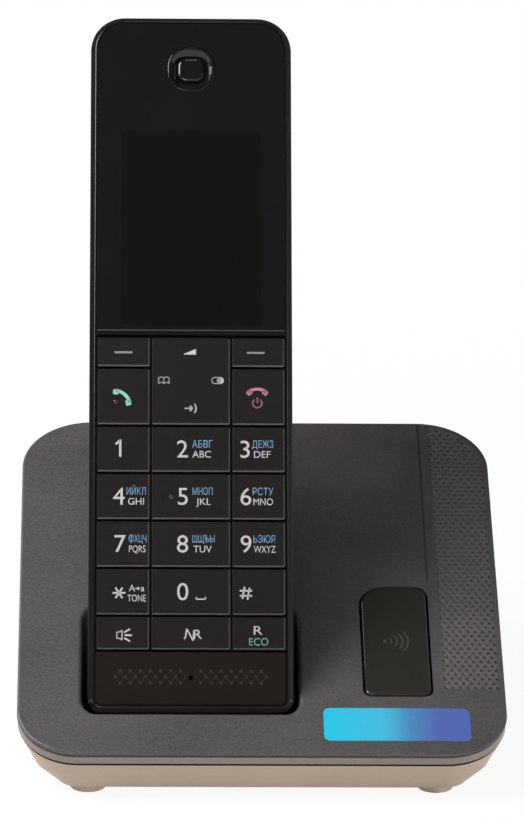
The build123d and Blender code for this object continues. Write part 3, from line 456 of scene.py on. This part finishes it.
def addText(target, body, left, base, height, width=None):
    curve = bpy.data.curves.new("legendText", "FONT")
    curve.body = body
    curve.resolution_u = font["steps"]
    holder = bpy.data.objects.new("legendText", curve)
    scene.collection.objects.link(holder)
    bpy.context.view_layer.update()
    mesh = bpy.data.meshes.new_from_object(holder.evaluated_get(bpy.context.evaluated_depsgraph_get()))
    bpy.data.objects.remove(holder)
    bpy.data.curves.remove(curve)
    part = bmesh.new()
    part.from_mesh(mesh)
    bpy.data.meshes.remove(mesh)
    lowX, highX = min(v.co.x for v in part.verts), max(v.co.x for v in part.verts)
    tall = height / font["cap"]
    wide = tall if width is None else width / (highX - lowX)
    join(target, part, shift(left, base) @ Matrix.Diagonal((wide, tall, 1, 1)) @ shift(-lowX, 0))


def finishPiece(name, shape, place, material, body, smooth=False):
    bmesh.ops.transform(shape, matrix=place, verts=shape.verts)
    mesh = bpy.data.meshes.new(name)
    shape.to_mesh(mesh)
    shape.free()
    piece = bpy.data.objects.new(name, mesh)
    scene.collection.objects.link(piece)
    mesh.materials.append(material)
    if smooth:
        mesh.shade_smooth()
    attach(piece, body)


# dimpled field on the base, sunk in the CAD's recess
field = {
    "left": 42.95, "right": 55.75, "front": 22.25, "back": 118.75, "corner": 15.75, "cornerSteps": 12,
    "sink": 0.02,
}
cell = {
    "pitch": 1.755, "wall": 0.3, "slope": 0.16, "depth": 0.34, "rim": 0.2, "shares": (0.7, 0.3),
    "startX": 0.3, "startY": 0.7, "spare": 4, "merge": 0.02,
}


def fieldSides():
    sides = [
        ((field["left"], 0, 0), (-1, 0, 0)),
        ((field["right"], 0, 0), (1, 0, 0)),
        ((0, field["front"], 0), (0, -1, 0)),
        ((0, field["back"], 0), (0, 1, 0)),
    ]
    centre = Vector((field["right"] - field["corner"], field["back"] - field["corner"], 0))
    for step in range(1, field["cornerSteps"]):
        angle = math.radians(90 / field["cornerSteps"] * step)
        outward = Vector((math.cos(angle), math.sin(angle), 0))
        sides.append((centre + outward * field["corner"], outward))
    return [(Vector(point), Vector(outward)) for point, outward in sides]


def makeField():
    sides = fieldSides()
    shape = bmesh.new()
    rowStep = cell["pitch"] * math.sqrt(3) / 2
    rows = int((field["back"] - field["front"]) / rowStep) + cell["spare"]
    columns = int((field["right"] - field["left"]) / cell["pitch"]) + cell["spare"]
    for row in range(-1, rows):
        for column in range(-1, columns):
            x = field["left"] + cell["startX"] + cell["pitch"] * (column + 0.5 * (row % 2))
            y = field["front"] + cell["startY"] + rowStep * row
            bmesh.ops.create_circle(shape, cap_ends=True, radius=cell["pitch"] / math.sqrt(3), segments=6,
                                    matrix=shift(x, y))
    bmesh.ops.remove_doubles(shape, verts=shape.verts, dist=cell["merge"])
    dimples = [
        face for face in shape.faces
        if all((face.calc_center_median() - point).dot(outward) < -cell["rim"] for point, outward in sides)
    ]
    bmesh.ops.inset_individual(shape, faces=dimples, thickness=cell["wall"])
    for share in cell["shares"]:
        bmesh.ops.inset_individual(shape, faces=dimples, thickness=cell["slope"], depth=-cell["depth"] * share)
    for point, outward in sides:
        bmesh.ops.bisect_plane(shape, geom=wholeOf(shape), plane_co=point, plane_no=outward, clear_outer=True)
    facet = shift(crease["x"], 0, 0) @ turn(creaseTilt, "Y") @ shift(-crease["x"], 0, 0)
    place = deckFrame @ facet @ shift(0, 0, -field["sink"])
    finishPiece("dimpledField", shape, place, fieldPlastic, "base")


makeField()
print("dimpled field made")

# printed label on the deck's front right corner, bent over the crease
label = {
    "left": 14.2, "right": 48.3, "front": 4.3, "back": 15.5, "corner": 1.6, "cornerSteps": 6, "lift": 0.05,
    "fadeLow": 0.0140, "fadeHigh": 0.0484, "grain": 900.0, "waver": 0.06, "roughness": 0.32,
    "startTone": (24, 180, 208),
    "tones": [(0.4, (60, 172, 208)), (0.6, (66, 124, 172)), (0.78, (74, 94, 164))],
}


def makeLabelPaper():
    material, tree, shader = newMaterial("labelPaper")
    place = addNode(tree, "TexCoord")
    split = addNode(tree, "SeparateXYZ")
    tree.links.new(place.outputs["Object"], split.inputs["Vector"])
    grain = addNoise(tree, place.outputs["Object"], label["grain"])
    waver = addMath(tree, "MULTIPLY_ADD", grain, label["waver"], -label["waver"] / 2)
    along = addRange(tree, split.outputs["X"], label["fadeLow"], label["fadeHigh"])
    ramp = addNode(tree, "ValToRGB")
    stops = ramp.color_ramp.elements
    stops.remove(stops[1])
    stops[0].color = tone(*label["startTone"])
    for spot, colour in label["tones"]:
        stops.new(spot).color = tone(*colour)
    tree.links.new(addMath(tree, "ADD", along, waver), ramp.inputs["Fac"])
    tree.links.new(ramp.outputs["Color"], shader.inputs["Base Color"])
    shader.inputs["Roughness"].default_value = label["roughness"]
    return material


def makeLabel():
    hinge = (crease["x"], 0, 0)
    margin = 0.01
    shape = bmesh.new()
    addPlate(shape, label["left"], label["right"], label["front"], label["back"], label["corner"],
             label["cornerSteps"])
    bmesh.ops.bisect_plane(shape, geom=wholeOf(shape), plane_co=hinge, plane_no=(1, 0, 0))
    beyond = [vert for vert in shape.verts if vert.co.x > crease["x"] + margin]
    bmesh.ops.rotate(shape, cent=hinge, matrix=turn(creaseTilt, "Y").to_3x3(), verts=beyond)
    place = deckFrame @ shift(0, 0, label["lift"])
    finishPiece("deckLabel", shape, place, makeLabelPaper(), "base")


makeLabel()
print("label made")


# printed inks
def ink(name, colour, bright, roughness=0.5):
    return plastic(
        name, colour, bright, scale=2500, contrast=0.4, roughness=roughness, spread=0.1, bump=0.02,
    )


whiteInk = ink("whiteInk", (167, 167, 165), (190, 190, 187))
dimInk = ink("dimInk", (146, 146, 143), (168, 168, 165))
blueInk = ink("blueInk", (95, 129, 162), (121, 155, 188))
mintInk = ink("mintInk", (120, 178, 160), (146, 200, 184))
greenInk = ink("greenInk", (94, 138, 122), (116, 160, 144))
roseInk = ink("roseInk", (162, 102, 118), (184, 124, 140))
wineInk = ink("wineInk", (130, 78, 98), (152, 98, 118))
softInk = ink("softInk", (116, 115, 113), (138, 137, 135))
greyInk = ink("greyInk", (58, 54, 51), (76, 72, 68), roughness=0.45)
shadeInk = ink("shadeInk", (40, 36, 34), (56, 52, 49), roughness=0.4)

# key legends: places are taken from the lower left corner of each key,
# and on the navigation pad and the middle function key from the handset's middle line
columnLefts = (-22.1, -9.2, 9.75)
rowLows = {
    "function": 14.95, "star": 23.25, "seven": 34.7, "four": 46.15, "one": 57.6, "talk": 69.05, "soft": 83.2,
}
inkLift = 0.125


def placeInk(name, shape, material, body):
    finishPiece(name, shape, handsetFrame @ shift(0, 0, inkLift), material, body)


# each legend is its text, where it starts, and how wide it is
dialKeys = {
    "key_1": {"column": 0, "row": "one"},
    "key_2": {
        "column": 1, "row": "one", "digit": ("2", 5.9),
        "latin": ("ABC", 9.55, 4.35), "upper": ("АБВГ", 9.5, 4.8),
    },
    "key_3": {
        "column": 2, "row": "one", "digit": ("3", 1.92),
        "latin": ("DEF", 5.1, 3.9), "upper": ("ДЕЖЗ", 4.65, 5.05),
    },
    "key_4": {
        "column": 0, "row": "four", "digit": ("4", 3.8),
        "latin": ("GHI", 7.35, 3.75), "upper": ("ИЙКЛ", 7.0, 4.5),
    },
    "key_5": {
        "column": 1, "row": "four", "digit": ("5", 6.15),
        "latin": ("JKL", 10.4, 3.5), "upper": ("МНОП", 9.6, 4.7),
    },
    "key_6": {
        "column": 2, "row": "four", "digit": ("6", 1.92),
        "latin": ("MNO", 4.95, 4.6), "upper": ("РСТУ", 4.8, 4.8),
    },
    "key_7": {
        "column": 0, "row": "seven", "digit": ("7", 4.2),
        "latin": ("PQRS", 7.6, 3.9), "upper": ("ФХЦЧ", 7.5, 4.2),
    },
    "key_8": {
        "column": 1, "row": "seven", "digit": ("8", 5.95),
        "latin": ("TUV", 9.8, 4.3), "upper": ("ШЩЪЫ", 9.5, 5.3),
    },
    "key_9": {
        "column": 2, "row": "seven", "digit": ("9", 1.92),
        "latin": ("WXYZ", 5.0, 5.1), "upper": ("ЬЭЮЯ", 4.9, 5.1),
    },
    "key_0": {"column": 1, "row": "star", "digit": ("0", 5.98)},
}
dialText = {"base": 3.4, "digit": 4.2, "latin": 1.65, "upperBase": 5.8, "upper": 1.75}


def addOne(shape, left, low):
    one = {"left": 5.2, "right": 5.75, "low": 3.5, "high": 7.7, "flag": 1.4, "flagWidth": 0.5, "tilt": 46}
    addBar(shape, left + one["left"], left + one["right"], low + one["low"], low + one["high"])
    place = shift(left + one["left"], low + one["high"]) @ turn(one["tilt"], "Z")
    addBar(shape, -one["flag"], 0, -one["flagWidth"], 0, place)


def addSpace(shape, left, low):
    space = {"left": (10.35, 10.65), "right": (12.45, 12.75), "floor": (3.5, 3.8), "high": 4.2}
    floorLow, floorHigh = space["floor"]
    addBar(shape, left + space["left"][0], left + space["right"][1], low + floorLow, low + floorHigh)
    for x0, x1 in (space["left"], space["right"]):
        addBar(shape, left + x0, left + x1, low + floorLow, low + space["high"])


# the first letter of 7 is a ring with a post
def addRingWord(shape, word, start, base, width):
    ring = {"width": 1.2, "post": (0.5, 0.7), "below": 0.15, "above": 1.9, "step": 1.32}
    addText(shape, "О", start, base, dialText["upper"], ring["width"])
    addBar(shape, start + ring["post"][0], start + ring["post"][1], base - ring["below"], base + ring["above"])
    addText(shape, word[1:], start + ring["step"], base, dialText["upper"], width - ring["step"])


def dialLegend(name, key):
    left, low = columnLefts[key["column"]], rowLows[key["row"]]
    white = bmesh.new()
    if "digit" in key:
        digit, start = key["digit"]
        addText(white, digit, left + start, low + dialText["base"], dialText["digit"])
    else:
        addOne(white, left, low)
    if "latin" in key:
        latin, start, width = key["latin"]
        addText(white, latin, left + start, low + dialText["base"], dialText["latin"], width)
        blue = bmesh.new()
        upper, start, width = key["upper"]
        if upper[0] == "Ф":
            addRingWord(blue, upper, left + start, low + dialText["upperBase"], width)
        else:
            addText(blue, upper, left + start, low + dialText["upperBase"], dialText["upper"], width)
        placeInk(name + "_blue", blue, blueInk, name)
    if name == "key_0":
        addSpace(white, left, low)
    placeInk(name + "_white", white, whiteInk, name)


def starKey():
    star = {"x": 5.3, "y": 5.1, "arm": 1.5, "half": 0.22, "angles": (0, 57, 123)}
    letters = {"capital": 7.6, "small": 10.4, "base": 5.5, "height": 1.55}
    arrow = {"x": (9.1, 10.1), "y": (6.05, 6.3), "tip": (10.15, 6.17), "barb": 0.6, "half": 0.1, "tilt": 145}
    word = {"x": 7.3, "y": 3.05, "height": 1.65, "width": 4.3}
    left, low = columnLefts[0], rowLows["star"]
    shape = bmesh.new()
    for angle in star["angles"]:
        place = shift(left + star["x"], low + star["y"]) @ turn(angle, "Z")
        addBar(shape, -star["arm"], star["arm"], -star["half"], star["half"], place)
    placeInk("key_star_white", shape, whiteInk, "key_star")
    shape = bmesh.new()
    addText(shape, "A", left + letters["capital"], low + letters["base"], letters["height"])
    addText(shape, "a", left + letters["small"], low + letters["base"], letters["height"])
    addBar(shape, left + arrow["x"][0], left + arrow["x"][1], low + arrow["y"][0], low + arrow["y"][1])
    for angle in (arrow["tilt"], -arrow["tilt"]):
        place = shift(left + arrow["tip"][0], low + arrow["tip"][1]) @ turn(angle, "Z")
        addBar(shape, 0, arrow["barb"], -arrow["half"], arrow["half"], place)
    addText(shape, "TONE", left + word["x"], low + word["y"], word["height"], word["width"])
    placeInk("key_star_dim", shape, whiteInk, "key_star")


def hashKey():
    mark = {"x": 3.15, "y": 5.1, "arm": 1.45, "half": 0.2, "steps": (-0.6, 0.6), "slant": 80}
    place = shift(columnLefts[2] + mark["x"], rowLows["star"] + mark["y"])
    shape = bmesh.new()
    for step in mark["steps"]:
        for angle in (0, mark["slant"]):
            addBar(shape, -mark["arm"], mark["arm"], step - mark["half"], step + mark["half"],
                   place @ turn(angle, "Z"))
    placeInk("key_hash_white", shape, whiteInk, "key_hash")


# a small handset, in shares of its width
def handsetMark(shape, matrix, width):
    bow = {"drop": 0.73, "radius": 0.8, "width": 0.16, "start": 55, "sweep": 70, "steps": 12}
    pad = {"x": 0.4, "y": 0.12, "tilt": 36, "halfX": 0.13, "halfY": 0.12}
    part = bmesh.new()
    addArc(part, 0, -width * bow["drop"], width * bow["radius"], width * bow["width"],
           bow["start"], bow["sweep"], bow["steps"])
    for side in (-1, 1):
        place = shift(side * width * pad["x"], -width * pad["y"]) @ turn(side * -pad["tilt"], "Z")
        addBar(part, -width * pad["halfX"], width * pad["halfX"], -width * pad["halfY"], width * pad["halfY"],
               place)
    join(shape, part, matrix)


def talkKeys():
    talk = {"x": 6.25, "y": 6.95, "tilt": -42, "width": 4.9}
    off = {"x": 5.9, "y": 8.3, "width": 4.7}
    power = {
        "x": 5.92, "y": 5.2, "radius": 1.1, "width": 0.32, "start": 125, "sweep": 290, "steps": 14,
        "post": (5.77, 6.07), "high": 6.6,
    }
    left, right, low = columnLefts[0], columnLefts[2], rowLows["talk"]
    shape = bmesh.new()
    handsetMark(shape, shift(left + talk["x"], low + talk["y"]) @ turn(talk["tilt"], "Z"), talk["width"])
    placeInk("key_talk_mint", shape, mintInk, "key_talk")
    shape = bmesh.new()
    handsetMark(shape, shift(right + off["x"], low + off["y"]), off["width"])
    placeInk("key_off_rose", shape, roseInk, "key_off")
    shape = bmesh.new()
    addArc(shape, right + power["x"], low + power["y"], power["radius"], power["width"],
           power["start"], power["sweep"], power["steps"])
    addBar(shape, right + power["post"][0], right + power["post"][1], low + power["y"], low + power["high"])
    placeInk("key_off_wine", shape, wineInk, "key_off")


def softKeys():
    bar = {"length": 4.2, "low": 3.1, "high": 3.6}
    low = rowLows["soft"]
    for name, column, start in (("key_soft_left", 0, 4.05), ("key_soft_right", 2, 3.45)):
        left = columnLefts[column] + start
        shape = bmesh.new()
        addBar(shape, left, left + bar["length"], low + bar["low"], low + bar["high"])
        placeInk(name + "_dim", shape, softInk, name)


def navMarks():
    wedge = {"x": -0.22, "y": 17.7, "halfX": 1.42, "halfY": 0.7, "cut": (-1.2, 2.84, 0)}
    capsule = {
        "y": 10.7, "low": 9.85, "high": 11.55, "line": 0.2,
        "solidX": 6.95, "solidStart": 6.35, "solidRadius": 0.85,
        "openX": 5.67, "openEnd": 6.4, "openRadius": 0.75, "steps": 8,
    }
    book = {
        "pages": (-7.02, -5.78), "rises": (10.79, 9.49), "radius": 0.72, "line": 0.18,
        "start": 30, "sweep": 120, "steps": 6, "posts": (-7.65, -6.4, -5.15), "low": 9.85, "high": 11.2,
    }
    arrow = {"x": (-1.5, 0.3), "y": (3.71, 4.05), "tip": (0.45, 3.88), "barb": 0.95, "half": 0.2, "tilt": 140}
    bracket = {"x": -0.6, "radius": 1.8, "width": 0.38, "start": -38, "sweep": 76, "steps": 8}
    low = rowLows["talk"]
    shape = bmesh.new()
    # volume wedge, upper
    ramp = rectangle(-wedge["halfX"], wedge["halfX"], -wedge["halfY"], wedge["halfY"])
    bmesh.ops.bisect_plane(ramp, geom=wholeOf(ramp), plane_co=(wedge["halfX"], wedge["halfY"], 0),
                           plane_no=wedge["cut"], clear_outer=True)
    join(shape, ramp, shift(wedge["x"], low + wedge["y"]))
    # right half of the capsule, filled
    addDisc(shape, capsule["solidX"], low + capsule["y"], capsule["solidRadius"])
    addBar(shape, capsule["solidStart"], capsule["solidX"], low + capsule["low"], low + capsule["high"])
    placeInk("nav_pad_white", shape, whiteInk, "nav_pad")
    shape = bmesh.new()
    # open book, left
    for x in book["pages"]:
        for y in book["rises"]:
            addArc(shape, x, low + y, book["radius"], book["line"], book["start"], book["sweep"], book["steps"])
    for x in book["posts"]:
        half = book["line"] / 2
        addBar(shape, x - half, x + half, low + book["low"], low + book["high"])
    # left half of the capsule, open
    addArc(shape, capsule["openX"], low + capsule["y"], capsule["openRadius"], capsule["line"], 90, 180,
           capsule["steps"])
    for y in (capsule["high"] - capsule["line"], capsule["low"]):
        addBar(shape, capsule["openX"], capsule["openEnd"], low + y, low + y + capsule["line"])
    # arrow into a bracket, lower
    addBar(shape, arrow["x"][0], arrow["x"][1], low + arrow["y"][0], low + arrow["y"][1])
    tipX, tipY = arrow["tip"]
    for angle in (arrow["tilt"], -arrow["tilt"]):
        place = shift(tipX, low + tipY) @ turn(angle, "Z")
        addBar(shape, 0, arrow["barb"], -arrow["half"], arrow["half"], place)
    addArc(shape, bracket["x"], low + tipY, bracket["radius"], bracket["width"], bracket["start"],
           bracket["sweep"], bracket["steps"])
    placeInk("nav_pad_dim", shape, dimInk, "nav_pad")


def functionKeys():
    speaker = {
        "x": 4.75, "y": 3.3, "line": 0.24,
        "box": [(0.1, -0.75), (0.1, 0.75), (0.75, 0.75), (1.3, 1.2), (1.3, -1.2), (0.75, -0.75), (0.1, -0.75)],
        "centre": 0.7, "rays": (-31, 0, 31), "reach": (1.25, 2.9), "half": 0.2,
    }
    noise = {
        "x": 0.15, "y": 0.25, "line": 0.36,
        "wave": [(-1.75, 2.3), (-1.4, 2.4), (-1.1, 4.65), (0.4, 1.75), (0.6, 4.3)],
        "letterX": 0.7, "letterY": 2.45, "height": 2.25, "width": 1.9,
    }
    recall = {"x": 4.95, "y": 3.5, "height": 2.1, "width": 2.05}
    saving = {"x": 3.85, "y": 0.95, "height": 1.8, "width": 4.5}
    left, right, low = columnLefts[0], columnLefts[2], rowLows["function"]
    shape = bmesh.new()
    place = shift(left + speaker["x"], low + speaker["y"])
    addStroke(shape, speaker["box"], speaker["line"], place)
    for angle in speaker["rays"]:
        ray = place @ shift(speaker["centre"], 0) @ turn(angle, "Z")
        addBar(shape, speaker["reach"][0], speaker["reach"][1], -speaker["half"], speaker["half"], ray)
    placeInk("key_speaker_white", shape, whiteInk, "key_speaker")
    shape = bmesh.new()
    addStroke(shape, noise["wave"], noise["line"], shift(noise["x"], low + noise["y"]))
    addText(shape, "R", noise["letterX"], low + noise["letterY"], noise["height"], noise["width"])
    placeInk("key_noise_white", shape, whiteInk, "key_message")
    shape = bmesh.new()
    addText(shape, "R", right + recall["x"], low + recall["y"], recall["height"], recall["width"])
    placeInk("key_recall_white", shape, whiteInk, "key_recall")
    shape = bmesh.new()
    addText(shape, "ECO", right + saving["x"], low + saving["y"], saving["height"], saving["width"])
    placeInk("key_recall_green", shape, greenInk, "key_recall")


for name, key in dialKeys.items():
    dialLegend(name, key)
starKey()
hashKey()
talkKeys()
softKeys()
navMarks()
functionKeys()
print("legends made")


# grip marks round the microphone: three rows of dots joined by threads
def micMarks():
    marks = {
        "pitch": 2.35, "rows": (6.95, 8.4, 9.8), "count": 15, "gap": 1.4,
        "radius": 0.4, "sides": 6, "thread": 0.045, "reach": 1.8, "lift": 0.06,
    }
    low, middle, high = marks["rows"]
    shape = bmesh.new()
    for index, y in enumerate(marks["rows"]):
        count = marks["count"] + index % 2
        for step in range(count):
            x = marks["pitch"] * (step - (count - 1) / 2)
            if abs(x) > marks["gap"]:
                addDisc(shape, x, y, marks["radius"], marks["sides"])
    for step in range(marks["count"]):
        x = marks["pitch"] * (step - (marks["count"] - 1) / 2)
        if abs(x) > marks["gap"]:
            for y in (low, high):
                for side in (-1, 1):
                    tilt = math.degrees(math.atan2(middle - y, side * marks["pitch"] / 2))
                    addBar(shape, 0, marks["reach"], -marks["thread"], marks["thread"],
                           shift(x, y) @ turn(tilt, "Z"))
    place = handsetFrame @ shift(0, 0, marks["lift"])
    finishPiece("micMarks", shape, place, shadeInk, "handset")


# raised dots on 5 and on the talk key
def raisedDots():
    dot = {"radius": 0.55, "flat": 0.5, "lift": 0.1, "around": 12, "down": 8}
    for name, x, y in (("key_5", -4.6, 51.5), ("key_talk", -17.7, 74.5)):
        shape = bmesh.new()
        bmesh.ops.create_uvsphere(shape, u_segments=dot["around"], v_segments=dot["down"], radius=dot["radius"])
        flatten = shift(x, y, dot["lift"]) @ Matrix.Diagonal((1, 1, dot["flat"], 1))
        finishPiece(name + "_dot", shape, handsetFrame @ flatten, keyPlastic, name, smooth=True)


# printed waves on the locator button
def buttonMark():
    mark = {
        "x": 29.4, "y": 38.6, "lift": 0.305, "radii": (1.6, 2.9, 4.2, 5.5), "width": 0.4,
        "start": -38, "sweep": 76, "steps": 10, "dot": 0.5,
    }
    shape = bmesh.new()
    for radius in mark["radii"]:
        addArc(shape, mark["x"], mark["y"], radius, mark["width"], mark["start"], mark["sweep"], mark["steps"])
    addDisc(shape, mark["x"], mark["y"], mark["dot"])
    place = deckFrame @ shift(0, 0, mark["lift"])
    finishPiece("buttonMark", shape, place, greyInk, "locator_button")


micMarks()
raisedDots()
buttonMark()
print("small marks made")


# the display's darker pane on the lens
def displayWindow():
    window = {
        "left": -16.6, "right": 16.6, "low": 93.4, "high": 141.3, "corner": 0.6, "cornerSteps": 3,
        "lift": -0.04,
    }
    shape = bmesh.new()
    addPlate(shape, window["left"], window["right"], window["low"], window["high"], window["corner"],
             window["cornerSteps"])
    place = handsetFrame @ shift(0, 0, window["lift"])
    finishPiece("displayWindow", shape, place, windowGlass, "handset")


# the light line along the lens's lower edge
def lensLine():
    line = {"half": 22.2, "low": 91.9, "high": 92.15, "lift": -0.035}
    shape = bmesh.new()
    addBar(shape, -line["half"], line["half"], line["low"], line["high"])
    place = handsetFrame @ shift(0, 0, line["lift"])
    finishPiece("lensLine", shape, place, greyInk, "handset")


displayWindow()
lensLine()
print("display made")


# the white background shows to the camera and in reflections, and adds no light of its own
def seenRays(tree, share=None):
    path = addNode(tree, "LightPath")
    mirrored = addMath(tree, "ADD", path.outputs["Is Glossy Ray"], path.outputs["Is Transmission Ray"])
    if share is not None:
        mirrored = addMath(tree, "MULTIPLY", mirrored, share)
    return addMath(tree, "ADD", path.outputs["Is Camera Ray"], mirrored)


def grey(level):
    return [level, level, level, 1]


# pale floor: it glows white, and keeps some of the object's shadow near it
def makeFloor():
    floor = {
        "half": 6.0, "paperScale": 40.0, "paper": (0.88, 0.92), "roughness": 0.9,
        "near": 0.1, "far": 0.4, "nearGlow": 0.92, "farGlow": 1.0,
    }
    shape = bmesh.new()
    bmesh.ops.create_grid(shape, x_segments=1, y_segments=1, size=floor["half"])
    mesh = bpy.data.meshes.new("studioFloor")
    shape.to_mesh(mesh)
    shape.free()
    studioFloor = bpy.data.objects.new("studioFloor", mesh)
    scene.collection.objects.link(studioFloor)
    material, tree, shader = newMaterial("floorPaint")
    output = next(n for n in tree.nodes if n.type == "OUTPUT_MATERIAL")
    place = addNode(tree, "TexCoord")
    paper = addNoise(tree, place.outputs["Object"], floor["paperScale"])
    dark, pale = floor["paper"]
    tree.links.new(mixColour(tree, paper, grey(dark), grey(pale)), shader.inputs["Base Color"])
    setInputs(shader, {"Roughness": floor["roughness"], "Specular IOR Level": 0.0})
    glow = addNode(tree, "Emission")
    glow.inputs["Strength"].default_value = 1.0
    mixer = addNode(tree, "MixShader")
    reach = addNode(tree, "VectorMath", operation="LENGTH")
    tree.links.new(place.outputs["Object"], reach.inputs[0])
    fade = addRange(tree, reach.outputs["Value"], floor["near"], floor["far"], floor["nearGlow"], floor["farGlow"])
    tree.links.new(addMath(tree, "MULTIPLY", seenRays(tree), fade), mixer.inputs[0])
    tree.links.new(shader.outputs[0], mixer.inputs[1])
    tree.links.new(glow.outputs[0], mixer.inputs[2])
    tree.links.new(mixer.outputs[0], output.inputs["Surface"])
    mesh.materials.append(material)


# mirrored, the backdrop is white round the horizon and fades into a dim ceiling
def makeWorld():
    backdrop = {"dim": 0.1, "white": 1.0, "horizon": 0.0, "ceiling": 0.16}
    world = bpy.data.worlds.new("studioWorld")
    world.use_nodes = True
    scene.world = world
    tree = world.node_tree
    background = next(n for n in tree.nodes if n.type == "BACKGROUND")
    place = addNode(tree, "TexCoord")
    split = addNode(tree, "SeparateXYZ")
    tree.links.new(place.outputs["Generated"], split.inputs["Vector"])
    wall = addRange(tree, split.outputs["Z"], backdrop["horizon"], backdrop["ceiling"], 1.0, 0.0)
    colour = mixColour(tree, seenRays(tree, wall), grey(backdrop["dim"]), grey(backdrop["white"]))
    tree.links.new(colour, background.inputs["Color"])
    background.inputs["Strength"].default_value = 1.0


# lamps: a matte one gives no glare on the flat faces
lamps = [
    {"name": "keyLamp", "at": (-0.38, -0.06, 0.45), "size": 0.34, "power": 4.7},
    {"name": "frontLamp", "at": (-0.3, -1.1, 0.15), "size": 0.5, "power": 4.1},
    {"name": "sideLamp", "at": (0.95, -0.3, 0.05), "size": 0.3, "power": 9.0, "matte": True},
    {"name": "rimLamp", "at": (0.75, -0.45, 0.65), "size": 0.12, "power": 0.5},
    {"name": "topLamp", "at": (0.0, -0.02, 1.2), "size": 0.12, "power": 0.6},
    {"name": "backLeftLamp", "at": (-0.65, 0.72, 0.3), "size": 0.25, "power": 1.0},
    {"name": "backRightLamp", "at": (0.68, 0.72, 0.2), "size": 0.25, "power": 1.0},
]
lampAim = Vector((0, 0, 0.06))


def placeLamp(lamp):
    light = bpy.data.lights.new(lamp["name"], "AREA")
    light.size = lamp["size"]
    light.energy = lamp["power"]
    holder = bpy.data.objects.new(lamp["name"], light)
    scene.collection.objects.link(holder)
    holder.visible_glossy = not lamp.get("matte", False)
    holder.location = lamp["at"]
    holder.rotation_euler = (lampAim - Vector(lamp["at"])).to_track_quat("-Z", "Y").to_euler()


def placeCamera():
    shot = {
        "elevation": 17.367, "yaw": 1.692, "roll": 0.761, "distance": 1.295982,
        "x": 0.000379, "z": 0.076295, "lens": 239.78, "sensor": 36.0, "farEnd": 50.0,
    }
    elevation, yaw = math.radians(shot["elevation"]), math.radians(shot["yaw"])
    level = math.cos(elevation)
    ahead = Vector((math.sin(yaw) * level, math.cos(yaw) * level, -math.sin(elevation)))
    camera = bpy.data.objects.new("mainCamera", bpy.data.cameras.new("mainCamera"))
    scene.collection.objects.link(camera)
    camera.data.sensor_width = shot["sensor"]
    camera.data.lens = shot["lens"]
    camera.data.clip_end = shot["farEnd"]
    spin = turn(-shot["yaw"], "Z") @ turn(90 - shot["elevation"], "X") @ turn(shot["roll"], "Z")
    eye = Vector((shot["x"], 0, shot["z"])) - ahead * shot["distance"]
    camera.matrix_world = Matrix.Translation(eye) @ spin
    scene.camera = camera


makeFloor()
makeWorld()
for lamp in lamps:
    placeLamp(lamp)
placeCamera()
scene.view_settings.view_transform = "Standard"
print("stage set")
